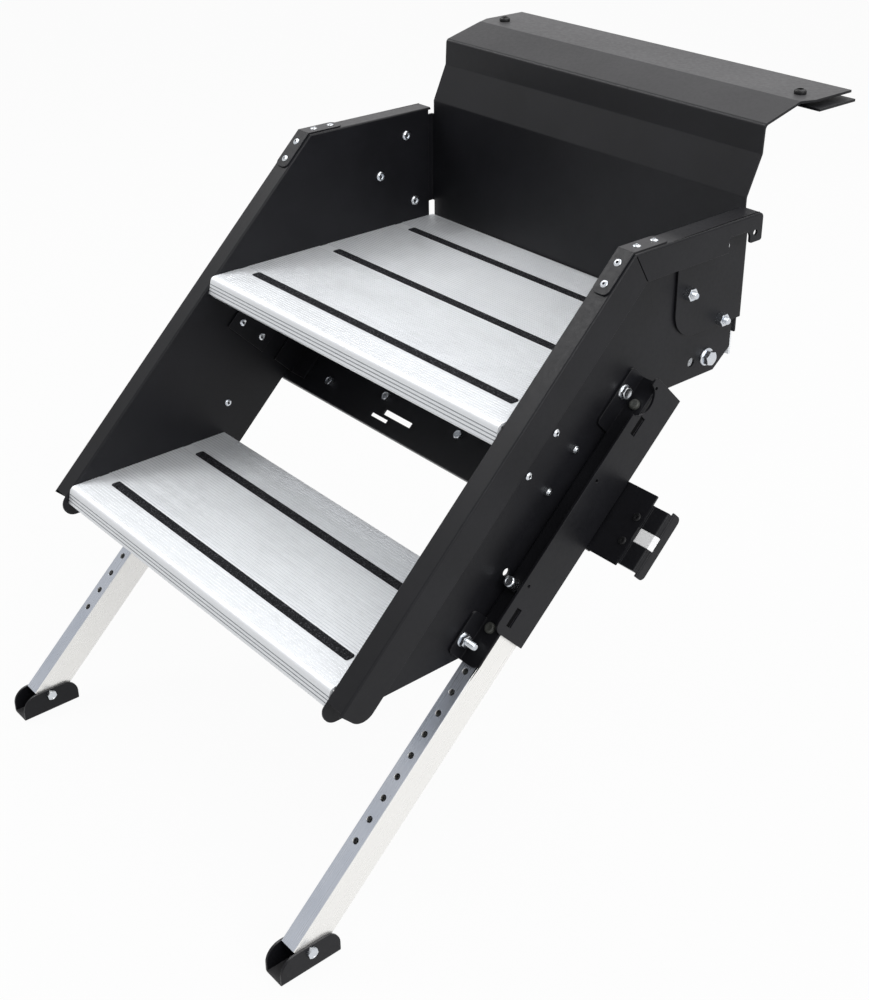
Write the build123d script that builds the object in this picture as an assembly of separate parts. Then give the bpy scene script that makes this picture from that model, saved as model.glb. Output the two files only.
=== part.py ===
"""Fold-up two-tread caravan entry step, in millimetres.

Working coordinates: X across the step, Y towards the caravan, Z up. The working
origin is the top front corner of the side panels on the middle plane. Every piece
is moved to the row frame on export: its origin is the middle of the floor plate's
underside.
"""

import math
import os

from build123d import *

# sheet and general fits
sheet = 3.0
seat_gap = 0.3
run_fit = 0.05
hole_clear = 0.25
bend_radius = 3.0
outer_bend = 2.5

# side panels
web_inner = 261.0
flange_width = 27.0
stair_slope = 44.5
stair_length = 532.0
web_depth = 180.0
web_bottom = -400.0
panel_rear = 190.0
top_flange_rear = 194.0
rear_foot_height = -163.0
rear_foot_bottom = -184.0
rear_foot_cut = 26.0
toe_radius = 15.4
front_lip = 38.0
front_lip_over = 3.0
front_lip_round = 18.0
top_lip = 34.0
top_lip_rear = 198.0
lip_seam = 1.0
hook_width = 19.5
hook_bottom = -31.5
hook_notch = 34.0
hook_notch_top = -17.0
hook_notch_round = 8.0
hook_round = 6.0
hook_hole_radius = 3.2
hook_hole_drop = 21.0
hook_hole_back = 11.2
access_hole_along = 330.0
access_hole_depth = 127.0
access_hole_radius = 4.5

# corner gussets
gusset_leg = 52.0
gusset_thick = 2.0
gusset_inset = 2.5
gusset_round = 7.0
gusset_rivets_at = (15.0, 40.5)
rivet_radius = 2.2
rivet_head = 4.4
rivet_head_height = 1.8

# threshold sheet and riser
flat_top = 99.5
flat_back = 361.4
flat_front = 280.0
slope_front = 221.0
slope_front_top = 84.6
drop_bottom = 53.0
drop_lean = 1.4
riser_face = 199.0
riser_top = 8.4
riser_lap = 2.0
flat_wing = 7.0
wing_chamfer = 16.0
fold_radius = 5.0

# ears of the riser, outside the panels
ear_top = -10.0
ear_bottom = -128.5
ear_front = 90.5
ear_round = 32.0
ear_bolts_at = ((152.0, -30.0), (108.0, -76.0), (165.0, -121.0))
ear_bolt_radius = 4.0
button_head = 6.6
button_height = 3.6
nut_flats = 13.0
nut_height = 6.5
stud_over = 3.0
ear_nut_height = 8.0
ear_stud_over = 5.0

# lower rear flange bolts
pivot_at = (150.5, -164.0)
pivot_pitch = 25.0
pivot_bolt_radius = 5.0
pivot_flange = 10.5
pivot_flange_thick = 2.2
pivot_flats = 15.0
pivot_head_height = 6.5

# floor plate and strap hinges
floor_half = 276.5
floor_front = 294.0
floor_gap = 5.0
floor_hole_radius = 3.5
floor_holes_x = 440.0
floor_holes_y = 30.0
hinge_at = 150.0
hinge_axis_back = 0.5
hinge_barrel = 2.2
hinge_pin = 1.2
knuckle = 30.0
knuckle_gap = 0.5

# black bolts and buffers on the rear flat
buffer_x = 240.5
buffer_y = 305.0
buffer_head = 7.0
buffer_head_height = 6.0
buffer_shank = 3.0
buffer_radius = 10.0

# treads
tread_end_gap = 0.3
upper_top = -147.0
upper_nose = -162.0
upper_back = 196.0
lower_top = -361.0
lower_nose = -378.0
lower_back = -155.0
tread_height = 28.0
tread_skin = 3.5
tread_wall = 3.0
nose_radius = 7.0
nose_lean = 5.0
boss_radius = 7.5
rib_pitch = 4.0
rib_groove = 0.9
rib_depth = 0.4
upper_strips = (-110.0, 13.0, 136.0)
lower_strips = (-327.7, -210.0)
strip_width = 12.0
strip_half = 234.0
strip_sunk = 0.6
strip_proud = 0.5
strip_round = 3.0
strip_clear = 0.2

# tread brackets
bracket_along = (168.0, 252.0)
bracket_depth = (58.0, 126.0)
shelf_width = 30.0
shelf_from = -50.0
shelf_to = 60.0
lower_shelf_from = -340.0
lower_shelf_to = -180.0
bracket_bolts_along = (184.0, 236.7)
bracket_bolts_depth = (73.0, 111.0)
bracket_bolt_radius = 2.5
bracket_head = 4.75
bracket_head_height = 2.75
bracket_nut_flats = 8.0
bracket_nut_height = 4.5

# latch panel, brackets, guides and tongues
latch_half = 332.0
latch_along = (177.0, 262.0)
latch_depth = 188.0
latch_return = 15.0
latch_return_half = 285.0
latch_bracket_along = (190.0, 250.0)
latch_bracket_depth = 150.0
latch_bracket_leg = 30.0
latch_middle = -19.0
latch_bolt_pitch = 136.0
latch_outer_bolt = 188.0
latch_inner_along = 220.0
latch_outer_along = 237.0
latch_slot_low = (-95.0, -64.0, 247.0, 4.5)
latch_slot_high = (-77.0, -26.0, 237.0, 7.0)
latch_bolt_radius = 3.0
latch_nut_flats = 10.0
latch_nut_height = 5.0
guide_from = 292.0
guide_to = 352.0
guide_along = (187.0, 258.0)
guide_lip = 15.0
guide_lip_over = 3.5
guide_round = 6.5
guide_screw_x = 324.0
guide_screws_along = (207.0, 236.0)
guide_screw_radius = 2.5
guide_screw_head = 4.6
guide_screw_height = 2.2
tongue_from = 296.0
tongue_to = 355.0
tongue_along = (214.3, 230.7)
tongue_thick = 6.0
tongue_bevel = 4.0

# leg sleeves, in leg coordinates: along the leg from its first free hole, and
# behind its front face
leg_slope = 43.5
leg_start = (-215.3, -406.5)
sleeve_along = (-362.0, -7.0)
sleeve_plate_front = -26.3
sleeve_upper_tab = -290.0
sleeve_lower_tab = -58.0
sleeve_plate_back = 38.0
sleeve_outer_along = (-365.0, -51.0)
sleeve_outer_front = -15.0
sleeve_outer_back = 41.5
sleeve_bite_at = (-336.0, -16.0)
sleeve_bite_radius = 18.5
sleeve_slots_at = (-311.5, -73.0)
sleeve_slot_length = 22.0
sleeve_slot_width = 8.5
sleeve_slot_depth = 2.0
sleeve_slot_skin = 0.8
sleeve_holes_at = (-355.0, -238.5, -108.3)
sleeve_hole_radius = 2.0
sleeve_hole_depth = -6.0
sleeve_toe_round = 10.0
sleeve_corner_round = 6.0
sleeve_bolt_upper = (-335.0, -17.0)
sleeve_bolt_lower = (-26.0, -16.5)
sleeve_bolt_grip = 20.0
sleeve_bolt_flange = 8.4
sleeve_bolt_flange_thick = 1.8
sleeve_bolt_radius = 4.0
sleeve_bolt_flats = 13.0
sleeve_bolt_head = 6.0
sleeve_stud_over = 12.0
glides_at = (-330.0, -51.0)
glide_radius = 6.0
glide_height = 5.0

# legs
leg_width = 22.0
leg_deep = 37.0
leg_wall = 2.0
leg_top = -240.0
leg_pitch = 25.4
leg_holes = (-8, 8)
leg_hole_radius = 3.7

# snap pins
pin_hole = -4
pin_radius = 3.2
pin_bush_radius = 7.0
pin_bush_length = 6.0
pin_knob_radius = 6.2
pin_knob_length = 12.0

# feet
foot_bolt_along = 318.7
foot_bolt_radius = 4.0
foot_bolt_height = 24.5
foot_length = 74.0
foot_top = 6.5
foot_round = 19.0
foot_side_gap = 0.3
leg_end_over = 8.0
foot_head_flats = 11.0
foot_head_height = 5.0

# derived positions
web_outer = web_inner + sheet
lip_outer = web_inner + flange_width
ear_outer = web_outer + sheet
floor_top = flat_top - sheet - floor_gap
floor_bottom = floor_top - sheet
hinge_y = flat_back - hinge_axis_back
hinge_z = flat_top - sheet - floor_gap / 2
floor_back = hinge_y - hinge_barrel - 2 * seat_gap
floor_middle = (floor_front + floor_back) / 2
leg_inner = ear_outer + seat_gap
leg_middle = leg_inner + leg_width / 2
leg_outer = leg_inner + leg_width
sleeve_outer_in = leg_outer + seat_gap
front_wall_out = -seat_gap - sheet
tongue_depth = latch_depth + 2 * sheet + seat_gap
guide_depth = tongue_depth + tongue_thick + seat_gap
row_frame = Pos(0, -floor_middle, -floor_bottom)


def slope_point(along, depth):
    """Point (y, z) on the stair slope: distance down it and depth behind it."""
    turn = math.radians(stair_slope)
    y = -along * math.cos(turn) + depth * math.sin(turn)
    z = -along * math.sin(turn) - depth * math.cos(turn)
    return (y, z)


def leg_point(along, depth):
    """Point (y, z) in leg coordinates."""
    turn = math.radians(leg_slope)
    y = leg_start[0] - along * math.cos(turn) + depth * math.sin(turn)
    z = leg_start[1] - along * math.sin(turn) - depth * math.cos(turn)
    return (y, z)


def leg_back():
    """Direction from the leg's front face towards its back."""
    turn = math.radians(leg_slope)
    return (0, math.sin(turn), -math.cos(turn))


def slope_back():
    """Direction from the stair slope towards its back."""
    turn = math.radians(stair_slope)
    return (0, math.sin(turn), -math.cos(turn))


def oblong(point, along, depth):
    """Corners of a rectangle given along and behind a slope."""
    low, high = along
    near, far = depth
    return [point(low, near), point(high, near), point(high, far), point(low, far)]


def rounded(outline, corners=()):
    """Face from (y, z) points with some corners rounded."""
    face = Sketch() + make_face(Polyline(*outline, close=True))
    for spot, radius in corners:
        vertex = face.vertices().sort_by_distance((spot[0], spot[1], 0))[0]
        face = fillet(vertex, radius)
    return face


def plate(outline, x_from, thickness, corners=()):
    """Plate of the given (y, z) outline standing across X."""
    face = rounded(outline, corners)
    return extrude(Plane.YZ.offset(x_from) * face, amount=thickness)


def box_between(x_span, y_span, z_span):
    """Box between the given limits."""
    size = [span[1] - span[0] for span in (x_span, y_span, z_span)]
    middle = [(span[1] + span[0]) / 2 for span in (x_span, y_span, z_span)]
    return Pos(*middle) * Box(*size)


def rod_x(radius, x_span, spot):
    """Round bar along X."""
    length = x_span[1] - x_span[0]
    middle = (x_span[1] + x_span[0]) / 2
    return Pos(middle, spot[0], spot[1]) * Rot(0, 90, 0) * Cylinder(radius, length)


def hex_x(flats, x_span, spot):
    """Hexagon bar along X."""
    face = RegularPolygon(flats / 2, 6, major_radius=False)
    bar = extrude(Plane.YZ.offset(x_span[0]) * face, amount=x_span[1] - x_span[0])
    return Pos(0, spot[0], spot[1]) * bar


def rod_to(radius, start, direction, length):
    """Round bar from a point along a direction."""
    base = Cylinder(radius, length, align=(Align.CENTER, Align.CENTER, Align.MIN))
    return Plane(origin=start, z_dir=direction) * base


def hex_to(flats, start, direction, length):
    """Hexagon bar from a point along a direction."""
    face = RegularPolygon(flats / 2, 6, major_radius=False)
    return Plane(origin=start, z_dir=direction) * extrude(face, amount=length)


def dome_x(radius, height, face_x, spot, outwards):
    """Domed head on a face that looks along X."""
    ball = (radius**2 + height**2) / (2 * height)
    half_turn = math.asin(radius / ball) / 2
    middle = (ball * math.sin(half_turn), height - ball + ball * math.cos(half_turn))
    arc = ThreePointArc((radius, 0), middle, (0, height))
    base = Polyline((0, height), (0, 0), (radius, 0))
    head = revolve(Plane.XZ * make_face(arc + base), Axis.Z)
    return Plane(origin=(face_x, *spot), z_dir=(outwards, 0, 0)) * head


def other_side(shape):
    """Mirror image on the step's left."""
    return mirror(shape, about=Plane.YZ)


def both(shapes):
    """Shapes and their mirror images, in one list."""
    return list(shapes) + [other_side(shape) for shape in shapes]


def save(name, shape):
    """Write one node in the row frame."""
    moved = row_frame * shape
    export_step(moved, f"parts/{name}.step")


def save_pair(name, shape):
    """Write a right-hand node and its mirrored left-hand node."""
    save(f"{name}_right", shape)
    save(f"{name}_left", other_side(shape))


def save_group(name, shapes):
    """Write several like solids as one node."""
    save(name, Compound(children=[Part() + shape for shape in shapes]))


def web_outline():
    """Outline of a side panel's web, with its lower front point."""
    turn = math.radians(stair_slope)
    toe = (web_bottom / math.tan(turn), web_bottom)
    heel_y = (web_depth + web_bottom * math.cos(turn)) / math.sin(turn)
    knee_y = (web_depth + rear_foot_bottom * math.cos(turn)) / math.sin(turn)
    outline = [
        (0, 0),
        (panel_rear, 0),
        (panel_rear, rear_foot_height),
        (panel_rear - rear_foot_cut, rear_foot_bottom),
        (knee_y, rear_foot_bottom),
        (heel_y, web_bottom),
        toe,
    ]
    return outline, toe


def front_flange():
    """Flange and lip along the stair slope."""
    span = (0, stair_length)
    flange = plate(oblong(slope_point, span, (0, sheet)), web_inner, flange_width)
    reach = (0, stair_length + front_lip_over)
    lip_face = oblong(slope_point, reach, (0, front_lip))
    free_end = slope_point(reach[1], front_lip)
    lip = plate(lip_face, lip_outer - sheet, sheet, [(free_end, front_lip_round)])
    return flange + lip


def top_flange():
    """Flange and hooked lip along the top edge."""
    flange = box_between((web_inner, lip_outer), (0, top_flange_rear), (-sheet, 0))
    hook_front = top_lip_rear - hook_width
    outline = [
        (0, 0),
        (top_lip_rear, 0),
        (top_lip_rear, hook_bottom),
        (hook_front, hook_bottom),
        (hook_front, hook_notch_top),
        (hook_front - hook_notch, hook_notch_top),
        (hook_front - hook_notch, -top_lip),
        lip_corner(),
    ]
    ends = [(outline[i], bend_radius) for i in (2, 3, 5)]
    ends += [(outline[1], hook_round), (outline[4], hook_notch_round)]
    lip = plate(outline, lip_outer - sheet, sheet, ends)
    hole_at = (top_lip_rear - hook_hole_back, -hook_hole_drop)
    return flange + lip - rod_x(hook_hole_radius, (web_outer, lip_outer + sheet), hole_at)


def lip_corner():
    """Inner corner where the free edges of the two lips meet."""
    turn = math.radians(stair_slope)
    y = (front_lip - top_lip * math.cos(turn)) / math.sin(turn)
    return (y, -top_lip)


def lip_mitre():
    """Narrow cutter for the seam between the two lips."""
    corner = lip_corner()
    length = math.hypot(*corner)
    side = (-corner[1] / length * lip_seam / 2, corner[0] / length * lip_seam / 2)
    start = (corner[0] * sheet / length, corner[1] * sheet / length)
    end = (corner[0] * 1.1, corner[1] * 1.1)
    outline = [
        (start[0] + side[0], start[1] + side[1]),
        (end[0] + side[0], end[1] + side[1]),
        (end[0] - side[0], end[1] - side[1]),
        (start[0] - side[0], start[1] - side[1]),
    ]
    return plate(outline, lip_outer - 2 * sheet, 3 * sheet)


def bend_envelope():
    """Room inside the top bends, their outer corners rounded."""
    reach = 2 * stair_length
    body = box_between((web_inner, lip_outer), (-reach, reach), (-reach, 0))
    bends = body.edges().filter_by(Axis.Y).group_by(Axis.Z)[-1]
    return fillet(bends, outer_bend)


def ear_holes(radius, x_span):
    """Round bars on the three ear bolt axes."""
    return [rod_x(radius, x_span, spot) for spot in ear_bolts_at]


def bracket_spots():
    """The four fastener positions of a tread bracket."""
    return [slope_point(a, d) for d in bracket_bolts_depth for a in bracket_bolts_along]


def sleeve_spots():
    """The two bolt positions of a leg sleeve."""
    return [leg_point(*sleeve_bolt_upper), leg_point(*sleeve_bolt_lower)]


def panel_holes():
    """All cutters through a side panel's web."""
    span = (web_inner - sheet, web_outer + sheet)
    cuts = ear_holes(ear_bolt_radius + hole_clear, span)
    spare = (pivot_at[0] - pivot_pitch, pivot_at[1])
    for spot in (pivot_at, spare):
        cuts.append(rod_x(pivot_bolt_radius + hole_clear, span, spot))
    for spot in bracket_spots():
        cuts.append(rod_x(bracket_bolt_radius + hole_clear, span, spot))
    for spot in sleeve_spots():
        cuts.append(rod_x(sleeve_bolt_radius + hole_clear, span, spot))
    access = slope_point(access_hole_along, access_hole_depth)
    cuts.append(rod_x(access_hole_radius, span, access))
    return cuts


def gusset_rivet_frames():
    """Rivet positions and outward directions on one gusset."""
    turn = math.radians(stair_slope)
    middle = web_inner + flange_width / 2
    frames = []
    for reach in gusset_rivets_at:
        frames.append(((middle, reach, 0), (0, 0, 1)))
        y, z = slope_point(reach, 0)
        frames.append(((middle, y, z), (0, -math.sin(turn), math.cos(turn))))
    return frames


def rivet_bars(radius, low, high):
    """Bars on the gusset rivet axes between two heights over the flange."""
    bars = []
    for (x, y, z), (dx, dy, dz) in gusset_rivet_frames():
        start = (x + dx * low, y + dy * low, z + dz * low)
        bars.append(rod_to(radius, start, (dx, dy, dz), high - low))
    return bars


def side_panel():
    """Right-hand side panel."""
    outline, toe = web_outline()
    panel = plate(outline, web_inner, sheet, [(toe, toe_radius)])
    panel += front_flange()
    panel += top_flange()
    envelope = bend_envelope()
    panel = panel & envelope & (Rot(stair_slope, 0, 0) * envelope)
    panel -= lip_mitre()
    for cut in panel_holes():
        panel -= cut
    for cut in rivet_bars(rivet_radius + hole_clear, -2 * sheet, sheet):
        panel -= cut
    return panel


def gusset():
    """Bent cover over the right panel's top front corner."""
    turn = math.radians(stair_slope)
    lift = gusset_thick * math.tan(turn / 2)
    top = [(0, 0), (gusset_leg, 0), (gusset_leg, gusset_thick), (-lift, gusset_thick)]
    low_in = slope_point(gusset_leg, 0)
    low_out = slope_point(gusset_leg, -gusset_thick)
    outline = top + [low_out, low_in]
    width = flange_width - 2 * gusset_inset
    cover = plate(outline, web_inner + gusset_inset, width)
    ends = cover.edges().filter_by(
        lambda edge: abs(edge.length - gusset_thick) < gusset_thick * 0.01
    )
    cover = fillet(ends, gusset_round)
    for cut in rivet_bars(rivet_radius + hole_clear, -sheet, 2 * sheet):
        cover -= cut
    return cover


def gusset_rivets():
    """Rivets of the right gusset."""
    rivets = []
    for (x, y, z), (dx, dy, dz) in gusset_rivet_frames():
        start = (x - dx * sheet, y - dy * sheet, z - dz * sheet)
        shank = rod_to(rivet_radius, start, (dx, dy, dz), sheet + gusset_thick)
        seat = (x + dx * gusset_thick, y + dy * gusset_thick, z + dz * gusset_thick)
        head = rod_to(rivet_head, seat, (dx, dy, dz), rivet_head_height)
        rim = head.edges().filter_by(GeomType.CIRCLE).sort_by_distance(start)[-1]
        rivets.append(shank + fillet(rim, rivet_head_height * 0.7))
    return rivets


def sheet_profile():
    """Section of the threshold sheet, with its bend corners."""
    front = [
        (flat_back, flat_top),
        (flat_front, flat_top),
        (slope_front, slope_front_top),
        (slope_front - drop_lean, drop_bottom),
        (riser_face, riser_top),
        (riser_face, upper_top - riser_lap),
    ]
    inner = offset_points(front, sheet)
    return front, inner


def offset_points(points, distance):
    """Points of a line moved sideways by a distance, corners mitred."""
    moved = []
    count = len(points)
    for i in range(count):
        before = unit(points[max(i - 1, 0)], points[max(i, 1)])
        after = unit(points[min(i, count - 2)], points[min(i + 1, count - 1)])
        normal_a = (-before[1], before[0])
        normal_b = (-after[1], after[0])
        scale = distance / (1 + normal_a[0] * normal_b[0] + normal_a[1] * normal_b[1])
        shift = ((normal_a[0] + normal_b[0]) * scale, (normal_a[1] + normal_b[1]) * scale)
        moved.append((points[i][0] + shift[0], points[i][1] + shift[1]))
    return moved


def unit(start, end):
    """Unit direction between two points."""
    length = math.hypot(end[0] - start[0], end[1] - start[1])
    return ((end[0] - start[0]) / length, (end[1] - start[1]) / length)


def threshold_bend():
    """Threshold and riser sheet without wings, ears and hinge."""
    front, inner = sheet_profile()
    outline = front + inner[::-1]
    corners = []
    for i in (1, 2, 3, 4):
        corners.append((front[i], fold_radius))
        corners.append((inner[i], fold_radius))
    return plate(outline, -web_inner, 2 * web_inner, corners)


def flat_wings():
    """Wider ends of the rear flat."""
    half = web_inner + flat_wing
    front = flat_front + fold_radius / 5
    outline = [
        (-web_inner, front),
        (-half, front + wing_chamfer),
        (-half, flat_back),
        (half, flat_back),
        (half, front + wing_chamfer),
        (web_inner, front),
    ]
    face = make_face(Polyline(*outline, close=True))
    return extrude(Plane.XY.offset(flat_top - sheet) * face, amount=sheet)


def riser_ear():
    """Right-hand ear: the riser's forward fold outside the panel."""
    riser_back = riser_face + sheet
    outline = [
        (ear_front, ear_top),
        (riser_back, ear_top),
        (riser_back, ear_bottom),
        (ear_front, ear_bottom),
    ]
    corners = [(outline[3], ear_round), (outline[0], bend_radius)]
    ear = plate(outline, web_outer, sheet, corners)
    across = (web_inner - sheet, ear_outer)
    ear += box_between(across, (riser_face, riser_back), (ear_bottom, ear_top))
    bend = ear.edges().filter_by(Axis.Z).sort_by_distance((ear_outer, riser_back, 0))[0]
    ear = fillet(bend, bend_radius)
    for cut in ear_holes(ear_bolt_radius + hole_clear, (web_inner, ear_outer + sheet)):
        ear -= cut
    return ear


def knuckle_bar(x_span):
    """Hinge barrel over a stretch of the hinge line."""
    return rod_x(hinge_barrel, x_span, (hinge_y, hinge_z))


def moving_knuckle(middle):
    """Middle knuckle, under the rear flat's back edge."""
    span = (middle - knuckle / 2 + knuckle_gap / 2, middle + knuckle / 2 - knuckle_gap / 2)
    tall = (hinge_z, flat_top - sheet)
    body = knuckle_bar(span) + box_between(span, (hinge_y - hinge_barrel, hinge_y), tall)
    return body - rod_x(hinge_pin + run_fit, (span[0] - sheet, span[1] + sheet), (hinge_y, hinge_z))


def threshold_riser():
    """One bent sheet: threshold, riser, ears and moving hinge knuckles."""
    body = threshold_bend() + flat_wings()
    ear = riser_ear()
    body = body + ear + other_side(ear)
    for middle in (-hinge_at, hinge_at):
        body += moving_knuckle(middle)
    for x in (-buffer_x, buffer_x):
        tall = (flat_top - 2 * sheet, flat_top + sheet)
        start = (x, buffer_y, tall[0])
        body -= rod_to(buffer_shank + hole_clear, start, (0, 0, 1), tall[1] - tall[0])
    return body


def floor_plate():
    """Fixed plate on the caravan floor, with its hinge knuckles."""
    across = (-floor_half, floor_half)
    body = box_between(across, (floor_front, floor_back), (floor_bottom, floor_top))
    for middle in (-hinge_at, hinge_at):
        for side in (-1, 1):
            inner = middle + side * (knuckle / 2 + knuckle_gap / 2)
            outer = middle + side * (1.5 * knuckle)
            span = tuple(sorted((inner, outer)))
            strap = (floor_back - sheet, hinge_y)
            body += box_between(span, strap, (floor_bottom, hinge_z))
            body += knuckle_bar(span)
        reach = 2 * knuckle
        body -= rod_x(hinge_pin, (middle - reach, middle + reach), (hinge_y, hinge_z))
    for x in (-floor_holes_x / 2, floor_holes_x / 2):
        for y in (-floor_holes_y / 2, floor_holes_y / 2):
            start = (x, floor_middle + y, floor_bottom - sheet)
            body -= rod_to(floor_hole_radius, start, (0, 0, 1), 3 * sheet)
    return body


def hinge_pins():
    """Two hinge pins, fixed in the floor plate's knuckles."""
    half = 1.5 * knuckle
    spot = (hinge_y, hinge_z)
    return [rod_x(hinge_pin, (x - half, x + half), spot) for x in (-hinge_at, hinge_at)]


def buffer_bolts():
    """Black round-headed bolts of the floor buffers."""
    bolts = []
    for x in (-buffer_x, buffer_x):
        head = rod_to(buffer_head, (x, buffer_y, flat_top), (0, 0, 1), buffer_head_height)
        rim = head.edges().filter_by(GeomType.CIRCLE).sort_by(Axis.Z)[-1]
        head = fillet(rim, buffer_head_height / 3)
        length = 2 * sheet + seat_gap
        start = (x, buffer_y, flat_top - length)
        bolts.append(head + rod_to(buffer_shank, start, (0, 0, 1), length))
    return bolts


def rubber_buffers():
    """Rubber discs that land on the floor plate."""
    discs = []
    for x in (-buffer_x, buffer_x):
        bottom = floor_top + seat_gap
        start = (x, buffer_y, bottom)
        disc = rod_to(buffer_radius, start, (0, 0, 1), flat_top - sheet - bottom)
        discs.append(disc - rod_to(buffer_shank, start, (0, 0, 1), 2 * floor_gap))
    return discs


def ear_bolts():
    """Button-headed bolts through the right ear."""
    bolts = []
    end = ear_outer + ear_nut_height + ear_stud_over
    for spot in ear_bolts_at:
        head = dome_x(button_head, button_height, web_inner, spot, -1)
        bolts.append(head + rod_x(ear_bolt_radius, (web_inner, end), spot))
    return bolts


def nut(flats, radius, x_span, spot):
    """Hexagon nut along X."""
    bore = rod_x(radius + run_fit, (x_span[0] - sheet, x_span[1] + sheet), spot)
    return hex_x(flats, x_span, spot) - bore


def ear_nuts():
    """Nuts outside the right ear."""
    span = (ear_outer, ear_outer + ear_nut_height)
    return [nut(nut_flats, ear_bolt_radius, span, spot) for spot in ear_bolts_at]


def flange_bolt():
    """Right-hand flange bolt at the panel's lower rear corner."""
    seat = web_outer
    flange = rod_x(pivot_flange, (seat, seat + pivot_flange_thick), pivot_at)
    top = seat + pivot_flange_thick + pivot_head_height
    head = hex_x(pivot_flats, (seat, top), pivot_at)
    shank_end = web_inner - nut_height - stud_over
    return flange + head + rod_x(pivot_bolt_radius, (shank_end, seat), pivot_at)


def flange_nut():
    """Nut of the flange bolt, inside the panel."""
    span = (web_inner - nut_height, web_inner)
    return nut(pivot_flats, pivot_bolt_radius, span, pivot_at)


def tread_section(nose, back, top, ribs):
    """Section of a tread extrusion: skin, nose, back wall and ribs."""
    low = top - tread_height
    outline = [(nose, low + nose_radius), (nose + nose_lean, top), (back, top), (back, low)]
    outline += [(back - tread_wall, low), (back - tread_wall, top - tread_skin)]
    for spot in ribs[::-1]:
        half = tread_wall / 2
        outline += [(spot + half, top - tread_skin), (spot + half, low)]
        outline += [(spot - half, low), (spot - half, top - tread_skin)]
    inner = nose + nose_lean + tread_wall + rib_depth
    outline += [(inner, top - tread_skin), (inner, low), (nose + nose_radius, low)]
    return rounded(outline, [((nose + nose_lean, top), nose_radius)])


def tread_grooves(nose, back, top, strips):
    """Narrow grooves over the tread's top and nose."""
    grooves = []
    half = strip_width / 2 + strip_clear
    y = nose + nose_lean + nose_radius
    while y < back - rib_pitch:
        if all(abs(y - spot) > half + rib_groove for spot in strips):
            grooves.append(Pos(y, top) * Rectangle(rib_groove, 2 * rib_depth))
        y += rib_pitch
    rise = tread_height - nose_radius
    lean = math.degrees(math.atan2(nose_lean, rise))
    z = top - nose_radius - rib_pitch / 2
    while z > top - rise:
        shift = nose + nose_lean * (z - top + rise) / rise
        grooves.append(Pos(shift, z) * Rot(0, 0, -lean) * Rectangle(2 * rib_depth, rib_groove))
        z -= rib_pitch
    return grooves


def tread(nose, back, top, strips, boss):
    """One ribbed tread, open below, with a screw boss along its length."""
    half = web_inner - tread_end_gap
    ribs = sorted([spot for spot in strips if abs(spot - boss[0]) > strip_width] + [boss[0]])
    section = tread_section(nose, back, top, ribs)
    for groove in tread_grooves(nose, back, top, strips):
        section -= groove
    for spot in strips:
        wide = strip_width + 2 * strip_clear
        section -= Pos(spot, top) * Rectangle(wide, 2 * strip_sunk)
    section += Pos(*boss) * Circle(boss_radius)
    section -= Pos(*boss) * Circle(sleeve_bolt_radius + run_fit)
    return extrude(Plane.YZ.offset(-half) * section, amount=2 * half)


def grip_strips(top, strips):
    """Gritty strips of one tread."""
    pads = []
    for spot in strips:
        face = RectangleRounded(2 * strip_half, strip_width, strip_round)
        base = Plane.XY.offset(top - strip_sunk) * (Pos(0, spot) * face)
        pads.append(extrude(base, amount=strip_sunk + strip_proud))
    return pads


def upper_bracket():
    """Right-hand bracket under the upper tread."""
    seat = upper_top - tread_height
    x_in = web_inner - sheet
    leg = plate(oblong(slope_point, bracket_along, bracket_depth), x_in, sheet)
    leg &= box_between((0, 2 * web_inner), (2 * web_bottom, -web_bottom), (web_bottom, seat))
    leg += box_between((x_in, web_inner), (shelf_from, shelf_to), (seat - 5 * sheet, seat))
    shelf = (web_inner - shelf_width, web_inner)
    leg += box_between(shelf, (shelf_from, shelf_to), (seat - sheet, seat))
    for spot in bracket_spots():
        leg -= rod_x(bracket_bolt_radius + hole_clear, (x_in - sheet, web_outer), spot)
    return leg


def lower_bracket():
    """Right-hand angle under the lower tread."""
    seat = lower_top - tread_height
    span = (lower_shelf_from, lower_shelf_to)
    shelf = box_between((web_inner - shelf_width, web_inner), span, (seat - sheet, seat))
    return shelf + box_between((web_inner - sheet, web_inner), span, (web_bottom, seat))


def bracket_bolts():
    """Button-headed bolts of the right upper bracket's rear row."""
    bolts = []
    head_x = web_inner - sheet
    end = web_outer + bracket_nut_height + stud_over / 2
    for spot in bracket_spots()[2:]:
        head = dome_x(bracket_head, bracket_head_height, head_x, spot, -1)
        bolts.append(head + rod_x(bracket_bolt_radius, (head_x, end), spot))
    return bolts


def bracket_nuts():
    """Nuts of the right upper bracket's rear row."""
    span = (web_outer, web_outer + bracket_nut_height)
    spots = bracket_spots()[2:]
    return [nut(bracket_nut_flats, bracket_bolt_radius, span, spot) for spot in spots]


def bracket_rivets():
    """Dome rivets of the right upper bracket's front row."""
    rivets = []
    head_x = web_inner - sheet
    for spot in bracket_spots()[:2]:
        rivet = rod_x(bracket_bolt_radius, (head_x, web_outer), spot)
        rivet += dome_x(bracket_head, bracket_head_height, head_x, spot, -1)
        rivet += dome_x(bracket_head, bracket_head_height, web_outer, spot, 1)
        rivets.append(rivet)
    return rivets


def latch_slot(numbers):
    """Cutter for one slot in the latch panel."""
    x_from, x_to, along, width = numbers
    low = (along - width / 2, along + width / 2)
    deep = (latch_depth - sheet, latch_depth + 2 * sheet)
    return plate(oblong(slope_point, low, deep), x_from, x_to - x_from)


def latch_bolt_spots():
    """Bolt positions (x, along) on the latch panel."""
    half = latch_bolt_pitch / 2
    inner = [(latch_middle + side * half, latch_inner_along) for side in (-1, 1)]
    outer = [(side * latch_outer_bolt, latch_outer_along) for side in (-1, 1)]
    return inner + outer


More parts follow.
